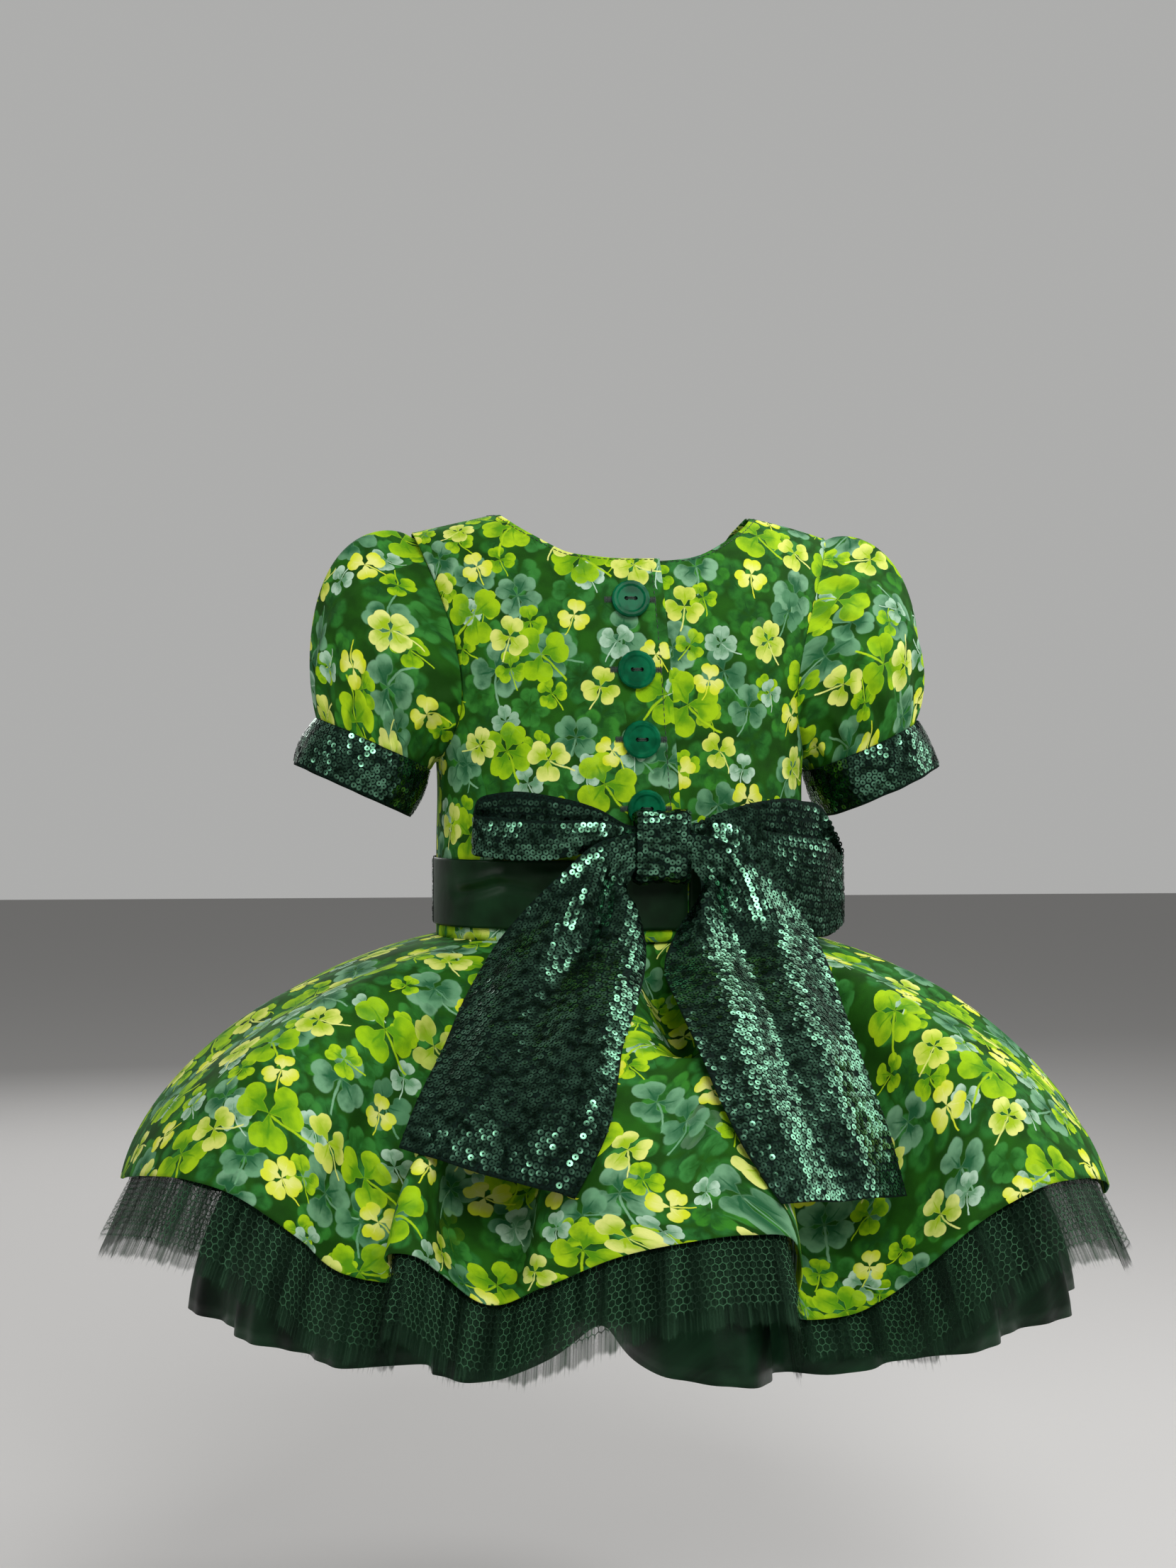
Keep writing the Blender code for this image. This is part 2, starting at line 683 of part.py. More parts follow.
def waist_point(angle, inset=SKIRT_TUCK):
    """Plan point of the waist seam, under the bodice's edge."""
    half_width, back, front = (size - inset for size in LEVELS[0][1:])
    turn = np.radians(angle)
    sine, cosine = np.abs(np.sin(turn)), np.abs(np.cos(turn))
    depth = np.where(np.cos(turn) > 0, back, front)
    radius = ((sine / half_width) ** RING_POWER + (cosine / depth) ** RING_POWER) ** (-1 / RING_POWER)
    return plan(angle, radius)


def plan(angle, radius):
    """Plan point at an angle from the middle of the back and a distance from the axis."""
    turn = np.radians(angle)
    return np.stack([radius * np.sin(turn), -radius * np.cos(turn)], axis=-1)


def meridian(waist, hem, top, bottom, bend, t):
    """Line of cloth from the waist to the hem, in plan and height.

    It is a Bezier curve that leaves the waist nearly level and comes down steeply at the hem. bend
    gives how far its two inner points lie along the reach and the drop.
    """
    reach = hem - waist
    drop = (top - bottom)[..., None]
    p0 = np.concatenate([waist, bottom[..., None] + drop], axis=-1)
    p3 = np.concatenate([hem, bottom[..., None]], axis=-1)
    p1 = p0 + np.concatenate([bend[0] * reach, -bend[1] * drop], axis=-1)
    p2 = p3 + np.concatenate([-bend[2] * reach, bend[3] * drop], axis=-1)
    return bezier(p0[:, None], p1[:, None], p2[:, None], p3[:, None], t[None, :, None])


def hem_height(waist, hem):
    """Height at which the cloth between waist and hem has the cut length, by halving."""
    high = np.full(len(hem), SKIRT_DROP_FROM - 20.0)
    low = np.full(len(hem), SKIRT_DROP_FROM - 230.0)
    steps = np.linspace(0, 1, 25)
    for _ in range(24):
        middle = (high + low) / 2
        line = meridian(waist, hem, SKIRT_DROP_FROM + 0 * middle, middle, SKIRT_BEND, steps)
        length = np.linalg.norm(np.diff(line, axis=1), axis=2).sum(axis=1)
        high = np.where(length < SKIRT_LENGTH, middle, high)
        low = np.where(length < SKIRT_LENGTH, low, middle)
    return (high + low) / 2


def half_hem(rows):
    """Hem and waist of one half of the skirt in plan, several columns for each row of its table.

    The hem is a cubic curve through the rows. The waist is shared out as the hem's own length is,
    because the skirt is cut from a circle.
    """
    table = np.array(rows)
    corners = plan(table[:, 0], table[:, 1])
    along = np.concatenate([[0], np.cumsum(np.linalg.norm(np.diff(corners, axis=0), axis=1))])
    rows_at = np.arange((len(table) - 1) * COLUMNS_PER_FOLD_ROW + 1) / COLUMNS_PER_FOLD_ROW
    place = np.interp(rows_at, np.arange(len(table)), along)
    hem = smooth(place, along, corners)
    fine_angles = np.linspace(table[0, 0], table[-1, 0], 181)
    fine = waist_point(fine_angles)
    waist_along = np.concatenate([[0], np.cumsum(np.linalg.norm(np.diff(fine, axis=0), axis=1))])
    angles = np.interp(place / along[-1], waist_along / waist_along[-1], fine_angles)
    return hem, waist_point(angles)


def skirt_ring():
    """The whole skirt as one ring of columns, with its height at the hem and the back's columns."""
    back_hem, back_waist = half_hem(HEM_BACK)
    front_hem, front_waist = half_hem(HEM_FRONT)
    hem = np.concatenate([back_hem[:-1], front_hem[:-1]])
    waist = np.concatenate([back_waist[:-1], front_waist[:-1]])
    return hem, waist, hem_height(waist, hem), len(back_hem) - 1


def cut_at_sides(name, grid, back_count, finish, wall=WALL):
    """Back and front halves of a ring of cloth, parted by a seam's gap at both sides."""
    normals = grid_normals(grid, closed=True, outward=-1)
    ring = np.concatenate([grid, grid[:1]])
    ring_normals = np.concatenate([normals, normals[:1]])
    for side, part, face in (("_back", slice(0, back_count + 1), -1), ("_front", slice(back_count, None), 1)):
        half = ring[part] + np.array([0.0, face * HALF_SEAM, 0.0])
        cloth(name + side, [(half, ring_normals[part])], finish, wall=wall, outward=-1)


def make_skirt():
    """Back and front half circles."""
    hem, waist, bottom, back_count = skirt_ring()
    grid = meridian(waist, hem, SKIRT_DROP_FROM + 0 * bottom, bottom, SKIRT_BEND, np.array(SKIRT_ROWS))
    cut_at_sides("skirt", grid, back_count, PRINT_GREEN)


def make_petticoat_net():
    """Net layer: the skirt's own lines lowered under it, then carried on past its hem.

    The drop under the skirt grows from a wall and a gap at the waist to NET_DROP more. Past the
    hem the net runs on along the skirt's line, turned out a little, to NET_LOWEST at the most.
    """
    hem, waist, bottom, back_count = skirt_ring()
    t = np.array(NET_ROWS)
    grid = meridian(waist, hem, SKIRT_DROP_FROM + 0 * bottom, bottom, SKIRT_BEND, t)
    normals = grid_normals(grid, closed=True, outward=-1)
    under = WALL + LAYER + NET_DROP * ease(t / NET_DROP_BY)
    net = grid - under[None, :, None] * normals
    ends = meridian(waist, hem, SKIRT_DROP_FROM + 0 * bottom, bottom, SKIRT_BEND, np.array([0.97, 1.0]))
    onward = unit(ends[:, 1] - ends[:, 0])
    outwards = np.concatenate([unit(hem), np.zeros((len(hem), 1))], axis=1)
    onward = unit(onward + NET_KICK * outwards)
    extra = np.clip(bottom - NET_LOWEST, NET_LEAST_EXTRA, NET_EXTRA)[:, None]
    net = np.concatenate([net, (net[:, -1] + extra * onward)[:, None]], axis=1)
    cut_at_sides("petticoat_net", net, back_count, NET_GREEN, wall=NET_WALL)


def make_petticoat_ruffle():
    """Satin layer: lines from the waist to a hem that is laid in folds.

    The hem's distance from the axis is the table's, kept inside the skirt's hem. Folds go inwards
    from there as a squared cosine round the dress, and one deep hollow at the back as
    exp(-(angle / width) ** 2). Both grow with FOLD_GROWTH from the waist to the hem.
    """
    count = RUFFLE_FOLDS * COLUMNS_PER_RUFFLE
    angle = -90.0 + np.arange(count) * 360.0 / count
    table = np.array(RUFFLE_HEM)
    table = np.concatenate([table, table[:1] + np.array([360.0, 0.0, 0.0])])
    radius, height = smooth(angle, table[:, 0], table[:, 1:]).T
    skirt_table = np.array(HEM_BACK + HEM_FRONT[1:])
    skirt_radius = smooth(angle, skirt_table[:, 0], skirt_table[:, 1])
    radius = np.minimum(radius, skirt_radius - RUFFLE_CLEARANCE)
    fold = RUFFLE_FOLD_DEPTH * np.cos(np.radians(angle + 90.0) * RUFFLE_FOLDS / 2) ** 2
    middle, width, depth = RUFFLE_HOLLOW
    fold = fold + depth * np.exp(-((angle - middle) / width) ** 2)
    top = SKIRT_DROP_FROM - WALL - LAYER - NET_WALL - LAYER + 0 * height
    t = np.array(RUFFLE_ROWS)
    grid = meridian(waist_point(angle), plan(angle, radius), top, height, RUFFLE_BEND, t)
    inwards = fold[:, None, None] * t[None, :, None] ** FOLD_GROWTH * plan(angle, -1.0)[:, None]
    grid = grid + np.concatenate([inwards, 0 * inwards[..., :1]], axis=-1)
    cut_at_sides("petticoat_ruffle", grid, count // 2, SATIN_GREEN)


def make_knot():
    """Knot of the bow: a flattened band round the middle of the loops, drawn in at its middle.

    It leans back at the top, where it passes over a button, so that it rests on the sash below.
    """
    turn = np.arange(KNOT_COLUMNS) * 2 * np.pi / KNOT_COLUMNS
    stations = np.linspace(-0.5, 0.5, len(KNOT_PINCH)) * KNOT_SIZE[0]
    turn, station = np.meshgrid(turn, stations, indexing="ij")
    pinch = np.broadcast_to(np.array(KNOT_PINCH), turn.shape)
    cosine, sine = np.cos(turn), np.sin(turn)
    y = KNOT_SIZE[1] / 2 * np.sign(cosine) * np.abs(cosine) ** (2 / KNOT_POWER)
    z = KNOT_SIZE[2] / 2 * pinch * np.sign(sine) * np.abs(sine) ** (2 / KNOT_POWER)
    y = y - KNOT_LEAN * z
    grid = np.array(KNOT_MIDDLE) + np.stack([station, y, z], axis=-1)
    normals = grid_normals(grid, closed=True, outward=1)
    cloth("bow_knot", [(grid, normals)], SEQUIN_GREEN, wall=KNOT_WALL, closed=True)


def loop_surface(rows):
    """A loop of the bow: a band that runs out from the knot, turns and comes back in front of itself.

    The band's middle line and its two edges are cubic curves through the rows, by their length in
    plan. The two ends meet inside the knot, so that the band is a ring.
    """
    table = np.array(rows)
    steps = np.linalg.norm(np.diff(table[:, :2], axis=0), axis=1)
    along = np.concatenate([[0], np.cumsum(steps)])
    stations = smooth(np.linspace(0, along[-1], LOOP_STATIONS), along, table)
    share = np.linspace(0, 1, 4)[None, :]
    height = stations[:, 2:3] * (1 - share) + stations[:, 3:4] * share
    x = stations[:, 0:1] + 0 * share
    y = -stations[:, 1:2] + 0 * share
    return np.stack([x, y, height], axis=-1)


def make_loops():
    """Both loops, each with its outside facing away from the hollow of the band."""
    for name, rows, outward in (("bow_loop_left", LOOP_LEFT, 1), ("bow_loop_right", LOOP_RIGHT, -1)):
        grid = loop_surface(rows)
        normals = grid_normals(grid, closed=True, outward=outward)
        cloth(name, [(grid, normals)], SEQUIN_GREEN, closed=True, outward=outward)


def tail_surface(rows, pleats):
    """A tail of the bow, between its outer and inner edges.

    Both edges are cubic curves through the rows. Across the tail the angle about the axis, the
    distance from it and the height change evenly. Pleats are ridges of exp(-(share / width) ** 2)
    that run from the knot and sink towards the end.
    """
    table = np.array(rows)
    place = np.linspace(0, len(table) - 1, TAIL_STEPS + 1)
    outer_x, outer_depth, outer_z, inner_x, inner_depth, inner_z = smooth(
        place, np.arange(len(table)), table).T
    share = np.linspace(0, 1, TAIL_COLUMNS + 1)[:, None]
    angle = np.arctan2(outer_x, outer_depth) * (1 - share) + np.arctan2(inner_x, inner_depth) * share
    radius = np.hypot(outer_x, outer_depth) * (1 - share) + np.hypot(inner_x, inner_depth) * share
    height = outer_z * (1 - share) + inner_z * share
    down = (place / (len(table) - 1))[None, :]
    ridge = 0 * angle
    for at_knot, at_end, high, low, width in pleats:
        middle = at_knot + (at_end - at_knot) * down
        rise = (low + (high - low) * (1 - down)) * ease((down - PLEATS_FROM) / PLEATS_GROW_OVER)
        ridge = ridge + rise * np.exp(-((share - middle) / width) ** 2)
    grid = np.stack([radius * np.sin(angle), -radius * np.cos(angle), height], axis=-1)
    return grid, ridge


def make_tails():
    """Both tails, pleated outwards from the skirt under them."""
    for name, rows, pleats, outward in (("bow_tail_left", TAIL_LEFT, TAIL_PLEATS_LEFT, -1),
                                        ("bow_tail_right", TAIL_RIGHT, TAIL_PLEATS_RIGHT, 1)):
        grid, ridge = tail_surface(rows, pleats)
        grid = grid + ridge[..., None] * grid_normals(grid, closed=False, outward=outward)
        normals = grid_normals(grid, closed=False, outward=outward)
        cloth(name, [(grid, normals)], SEQUIN_GREEN, outward=outward)


def button_mesh():
    """A round button with a raised rim, a shallow dish and two holes bored through it."""
    radius = BUTTON_DIAMETER / 2
    rim = radius - BUTTON_RIM
    floor = BUTTON_THICKNESS - BUTTON_DISH
    profile = ((0.0, 0.0), (radius - 1.0, 0.0), (radius, 1.0), (radius - 0.2, floor),
               (radius - 1.0, BUTTON_THICKNESS), (rim, BUTTON_THICKNESS), (rim - 1.0, floor), (0.0, floor))
    form = bmesh.new()
    points = [form.verts.new(Vector((x, 0.0, z)) * MM) for x, z in profile]
    edges = [form.edges.new(pair) for pair in zip(points, points[1:])]
    bmesh.ops.spin(form, geom=points + edges, axis=(0, 0, 1), cent=(0, 0, 0), angle=2 * math.pi,
                   steps=BUTTON_SEGMENTS, use_merge=True)
    bmesh.ops.remove_doubles(form, verts=form.verts, dist=0.01 * MM)
    bmesh.ops.recalc_face_normals(form, faces=form.faces)
    blank_mesh = bpy.data.meshes.new("button_blank")
    form.to_mesh(blank_mesh)
    form.free()
    blank = bpy.data.objects.new("button_blank", blank_mesh)
    bpy.context.collection.objects.link(blank)

    cutters = []
    for side in (-1, 1):
        bpy.ops.mesh.primitive_cylinder_add(vertices=10, radius=BUTTON_HOLE / 2 * MM,
                                            depth=3 * BUTTON_THICKNESS * MM,
                                            location=(side * BUTTON_HOLE_SPACING / 2 * MM, 0.0, 0.0))
        cutter = bpy.context.object
        cutters.append(cutter)
        bore = blank.modifiers.new("bore", "BOOLEAN")
        bore.operation = "DIFFERENCE"
        bore.object = cutter
    bpy.context.view_layer.update()
    bored = blank.evaluated_get(bpy.context.evaluated_depsgraph_get())
    mesh = bpy.data.meshes.new_from_object(bored)
    for spare in [blank] + cutters:
        bpy.data.objects.remove(spare)
    mesh.name = "button"
    return mesh


def make_buttons():
    """Four buttons down the opening, each square to the panel that it is sewn on."""
    mesh = button_mesh()
    mesh.materials.clear()
    mesh.shade_smooth()
    mesh.set_sharp_from_angle(angle=math.radians(35.0))
    mesh.materials.append(material("button", BUTTON_GREEN))
    for number, height in enumerate(BUTTON_HEIGHTS, start=1):
        level = np.array([height])
        angle = angle_at(opening_middle(level), level)
        normal = torso_normal(angle, level, -1)
        seat = lifted(torso(angle, level, -1), normal)[0] + LAYER * normal[0]
        button = bpy.data.objects.new(f"button_{number}", mesh)
        button.location = Vector(seat) * MM
        button.rotation_mode = "QUATERNION"
        button.rotation_quaternion = Vector(normal[0]).to_track_quat("Z", "Y")
        bpy.context.collection.objects.link(button)


def main():
    for old in list(bpy.data.objects):
        bpy.data.objects.remove(old)
    make_bodice()
    make_sash()
    make_sleeves()
    make_skirt()
    make_petticoat_net()
    make_petticoat_ruffle()
    make_knot()
    make_loops()
    make_tails()
    make_buttons()


main()
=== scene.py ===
# %% [markdown]
# # A toddler's party dress, seen from the back
#
# The dress has a cotton bodice printed with clovers, which buttons down the back, short puffed
# sleeves with sequinned cuffs, a sash with a large sequinned bow, a full circle skirt, and a
# petticoat of net over satin. The solid model is loaded first as a fixed frame. Every piece of
# cloth is then made again as a thin, fine surface on the same formulas, and given its finish.

import math

import bmesh
import bpy
import numpy as np
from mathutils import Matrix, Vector


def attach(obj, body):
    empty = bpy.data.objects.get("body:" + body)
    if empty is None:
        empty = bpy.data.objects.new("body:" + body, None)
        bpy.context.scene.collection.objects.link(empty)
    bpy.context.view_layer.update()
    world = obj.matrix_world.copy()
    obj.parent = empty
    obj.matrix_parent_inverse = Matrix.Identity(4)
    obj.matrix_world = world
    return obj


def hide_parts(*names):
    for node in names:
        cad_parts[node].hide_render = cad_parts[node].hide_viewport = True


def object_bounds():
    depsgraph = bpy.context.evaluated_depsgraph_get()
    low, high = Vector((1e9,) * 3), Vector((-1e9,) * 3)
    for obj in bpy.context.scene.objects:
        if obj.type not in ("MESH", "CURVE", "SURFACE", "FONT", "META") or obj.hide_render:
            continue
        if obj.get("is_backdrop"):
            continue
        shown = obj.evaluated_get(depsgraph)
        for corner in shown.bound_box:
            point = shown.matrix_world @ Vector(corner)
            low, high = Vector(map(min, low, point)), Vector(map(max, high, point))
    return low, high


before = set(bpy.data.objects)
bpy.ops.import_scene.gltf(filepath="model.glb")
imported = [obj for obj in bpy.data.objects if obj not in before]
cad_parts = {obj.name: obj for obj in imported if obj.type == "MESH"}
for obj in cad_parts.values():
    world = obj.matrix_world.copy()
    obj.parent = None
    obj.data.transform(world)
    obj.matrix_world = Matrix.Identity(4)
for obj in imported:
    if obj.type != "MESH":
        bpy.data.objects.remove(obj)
cad_box = [list(corner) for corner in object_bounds()]
MM = 0.001
print("solid model from", cad_box[0], "to", cad_box[1])

# %% [markdown]
# ## The camera
#
# The photograph was taken from about 1.25 m, level with the chest and 7 degrees to the left of the
# middle of the back. The picture's middle lies 16 mm to the left of the dress, so the camera
# stands that far to the left, and no shift is needed.

# %% Camera
PHOTO_HEIGHT = 2212
CAMERA_DISTANCE = 1.25
CAMERA_AZIMUTH = -7.0
CAMERA_HEIGHT = -0.1354
CAMERA_SIDEWAYS = -0.0161
FOCAL_PIXELS = 3378.0
SENSOR = 36.0

camera_turn = math.radians(CAMERA_AZIMUTH)
backwards = Vector((math.sin(camera_turn), -math.cos(camera_turn), 0.0))
sideways = Vector((math.cos(camera_turn), math.sin(camera_turn), 0.0))
camera = bpy.data.objects.new("camera", bpy.data.cameras.new("camera"))
bpy.context.collection.objects.link(camera)
camera.data.sensor_width = SENSOR
camera.data.lens = FOCAL_PIXELS / PHOTO_HEIGHT * SENSOR
camera.location = backwards * CAMERA_DISTANCE + sideways * CAMERA_SIDEWAYS
camera.location.z = CAMERA_HEIGHT
camera.rotation_mode = "QUATERNION"
camera.rotation_quaternion = (-backwards).to_track_quat("-Z", "Y")
bpy.context.scene.camera = camera
bpy.context.scene.view_settings.view_transform = "Standard"
print("camera with a lens of", round(camera.data.lens, 1), "mm at", tuple(camera.location))

# %% [markdown]
# ## Curves and surfaces from short tables
#
# A pattern cutter notes a few measures and draws smooth curves through them. The same is done
# here: each shape is a short table with named columns, and `smooth` reads a cubic curve through
# its rows. A surface is then an array of points by column and row, with no loop over points.


# %% Curves
def smooth(at, knots, values):
    """Cubic curve through the rows of a table, read at the places given.

    Between two rows it is the cubic with the rows' values, and with slopes taken from their
    neighbours.
    """
    at = np.asarray(at, float)
    knots = np.asarray(knots, float)
    values = np.asarray(values, float)
    slopes = np.gradient(values, knots, axis=0)
    row = np.clip(np.searchsorted(knots, at, side="right") - 1, 0, len(knots) - 2)
    step = knots[row + 1] - knots[row]
    s = (at - knots[row]) / step
    if values.ndim > 1:
        s = s[..., None]
        step = step[..., None]
    start = (2 * s ** 3 - 3 * s ** 2 + 1) * values[row]
    start_slope = (s ** 3 - 2 * s ** 2 + s) * step * slopes[row]
    end = (3 * s ** 2 - 2 * s ** 3) * values[row + 1]
    end_slope = (s ** 3 - s ** 2) * step * slopes[row + 1]
    return start + start_slope + end + end_slope


def unit(vectors):
    """The same vectors with a length of one."""
    return vectors / np.linalg.norm(vectors, axis=-1, keepdims=True)


def ease(share):
    """A share from 0 to 1 with soft ends: s * s * (3 - 2 * s)."""
    share = np.clip(share, 0.0, 1.0)
    return share * share * (3.0 - 2.0 * share)


def bezier(p0, p1, p2, p3, t):
    """Cubic Bezier curve between p0 and p3, drawn towards p1 and p2."""
    return (1 - t) ** 3 * p0 + 3 * (1 - t) ** 2 * t * p1 + 3 * (1 - t) * t ** 2 * p2 + t ** 3 * p3


def run_length(points):
    """Length of a line of points, from its first point to each of them."""
    return np.concatenate([[0], np.cumsum(np.linalg.norm(np.diff(points, axis=0), axis=1))])


def squared(part, power):
    """A sine or cosine to the power 2 / power with its sign kept, which makes a circle squarer."""
    return np.sign(part) * np.abs(part) ** (2 / power)


print("halfway between 0 and 8 a smooth curve reads", float(smooth(0.5, [0, 1], [0, 8])))

# %% [markdown]
# A pattern cutter works on flat cloth and a fitter on the worn dress, so a surface here has both:
# its points, with normals that say which way is out, and its flat coordinates, which are lengths
# of cloth. Real cloth is never quite smooth either. Creases are laid along given lines, and
# ripples are waves too small and too many to place.

# %% Surfaces
RIPPLE_WAVES = 6
RIPPLE_SPREAD = (0.7, 1.5)


def grid_normals(grid, closed=False, outward=1):
    """Normals of points by column and row: the cross product of the steps across and along."""
    if closed:
        across = np.roll(grid, -1, axis=0) - np.roll(grid, 1, axis=0)
    else:
        across = np.gradient(grid, axis=0)
    along = np.gradient(grid, axis=1)
    return unit(np.cross(across, along)) * outward


def metres_of_cloth(grid, closed=False):
    """Flat coordinates of a surface, in millimetres: the lengths run across and along it so far."""
    if closed:
        grid = np.concatenate([grid, grid[:1]])
    across = np.linalg.norm(np.diff(grid, axis=0), axis=2)
    along = np.linalg.norm(np.diff(grid, axis=1), axis=2)
    u = np.concatenate([np.zeros((1, grid.shape[1])), np.cumsum(across, axis=0)])
    v = np.concatenate([np.zeros((grid.shape[0], 1)), np.cumsum(along, axis=1)], axis=1)
    return np.stack([u, v], axis=-1)


def creases(flat, rows):
    """Soft troughs and ridges along straight lines on the cloth, as a height in millimetres.

    Each is depth * exp(-(distance from the line / width) ** 2), and it fades towards both ends.
    """
    height = np.zeros(flat.shape[:-1])
    for u0, v0, u1, v1, depth, width in rows:
        start, run = np.array([u0, v0]), np.array([u1 - u0, v1 - v0])
        along = np.clip((flat - start) @ run / (run @ run), 0.0, 1.0)
        aside = flat - start - along[..., None] * run
        fade = 1 - (2 * along - 1) ** 4
        height += depth * fade * np.exp(-(aside ** 2).sum(-1) / width ** 2)
    return height


def ripples(points, rise, length, seed):
    """Unevenness of soft cloth: sine waves in all directions with lengths near the one given."""
    chance = np.random.default_rng(seed)
    headings = unit(chance.normal(0, 1, (RIPPLE_WAVES, 3)))
    lengths = length * chance.uniform(*RIPPLE_SPREAD, (RIPPLE_WAVES, 1))
    starts = chance.uniform(0, 2 * np.pi, RIPPLE_WAVES)
    return rise * np.sin(points @ (2 * np.pi * headings / lengths).T + starts).mean(axis=-1)


def rippled(grid, rise, length, seed, closed=False, outward=1):
    """A surface moved along its normals by ripples."""
    return grid + ripples(grid, rise, length, seed)[..., None] * grid_normals(grid, closed, outward)


square = np.stack(np.meshgrid([0.0, 1.0], [0.0, 1.0], [0.0], indexing="ij"), axis=-1)[:, :, 0]
print("a level square of points faces", grid_normals(square)[0, 0])

# %% [markdown] ## From points to a piece of cloth  A thin shell needs a mesh, a map of flat
# coordinates for its print, a thickness and a finish. The map keeps the real sizes, so that a
# clover on the cloth is as large as it was printed. The surfaces that get sequins later are kept
# in a dictionary by name.

# %% Cloth helpers
CLOTH_WALL = 0.7
WELD = 0.001
sequinned = {}


def surface_mesh(name, grid, flat, closed=False, outward=1, parted=None):
    """Mesh of quads from points by column and row, with the flat coordinates as its map.

    The span of columns named by parted gets no faces. Points that coincide there are welded, so
    that two halves become one piece along the line that they share.
    """
    columns, rows = grid.shape[:2]
    spans = np.arange(columns if closed else columns - 1)
    spans = spans[spans != (-1 if parted is None else parted)]
    i, j = (index.ravel() for index in np.meshgrid(spans, np.arange(rows - 1), indexing="ij"))
    corners, mapped = (
        np.stack([i * rows + j, after * rows + j, after * rows + j + 1, i * rows + j + 1], axis=1)
        for after in ((i + 1) % columns, i + 1))
    if outward < 0:
        corners, mapped = corners[:, ::-1], mapped[:, ::-1]
    mesh = bpy.data.meshes.new(name)
    mesh.from_pydata((grid.reshape(-1, 3) * MM).tolist(), [], corners.tolist())
    layer = mesh.uv_layers.new(name="cloth")
    layer.data.foreach_set("uv", (flat.reshape(-1, 2)[mapped] * MM).ravel())
    if parted is not None:
        form = bmesh.new()
        form.from_mesh(mesh)
        bmesh.ops.remove_doubles(form, verts=form.verts, dist=WELD * MM)
        form.to_mesh(mesh)
        form.free()
    mesh.shade_smooth()
    return mesh


def add_piece(name, mesh, finishes, slot, nodes=()):
    """Object of a mesh that rides on the dress, which hides the solid model's nodes that it
    replaces. The slot is not used.
    """
    piece = bpy.data.objects.new(name, mesh)
    bpy.context.collection.objects.link(piece)
    for finish in finishes:
        mesh.materials.append(finish)
    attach(piece, "root")
    if nodes:
        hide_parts(*nodes)
    return piece


def add_cloth(name, grid, flat, finishes, slot, nodes, closed=False, outward=1, wall=CLOTH_WALL,
              parted=None):
    """A thin shell of cloth whose outer side is the given surface, with its lining side inwards."""
    mesh = surface_mesh(name, grid, flat, closed, outward, parted)
    piece = add_piece(name, mesh, finishes, slot, nodes)
    thickness = piece.modifiers.new("thickness", "SOLIDIFY")
    thickness.thickness = wall * MM
    thickness.offset = -1.0
    thickness.material_offset = len(finishes) - 1
    area = sum(face.area for face in mesh.polygons)
    print(name, "has", len(mesh.polygons), "faces and", round(area, 4), "square metres of cloth")
    return piece


# %% [markdown]
# ## Shader maths as plain Python
#
# A material's sums are easier to read as sums. The small class below stands for a socket, so that
# `1 - mask` or `distance * 2` adds the Math node for it. The second class is a material: one method
# adds any node, given its type, its settings and its values, and the others are short names for
# the nodes that come up most.

# %% Shader helpers
class Number:
    """A socket of a material, on which Python's arithmetic adds Math nodes."""

    def __init__(self, finish, socket):
        self.finish = finish
        self.socket = socket

    def math(self, operation, *others):
        """This number and the others through one Math node."""
        return self.finish.math(operation, self, *others)

    def __add__(self, other):
        return self.math("ADD", other)

    def __sub__(self, other):
        return self.math("SUBTRACT", other)

    def __rsub__(self, other):
        return self.finish.math("SUBTRACT", other, self)

    def __mul__(self, other):
        return self.math("MULTIPLY", other)

    def __truediv__(self, other):
        return self.math("DIVIDE", other)

    def __rtruediv__(self, other):
        return self.finish.math("DIVIDE", other, self)

    def __pow__(self, other):
        return self.math("POWER", other)

    def __abs__(self):
        return self.math("ABSOLUTE")

    __radd__ = __add__
    __rmul__ = __mul__

    def between(self, low, high):
        """0 below low and 1 above high, with a soft change between."""
        values = {"Value": self, "From Min": low, "From Max": high}
        return self.finish.node("ShaderNodeMapRange", {"interpolation_type": "SMOOTHSTEP"}, values)


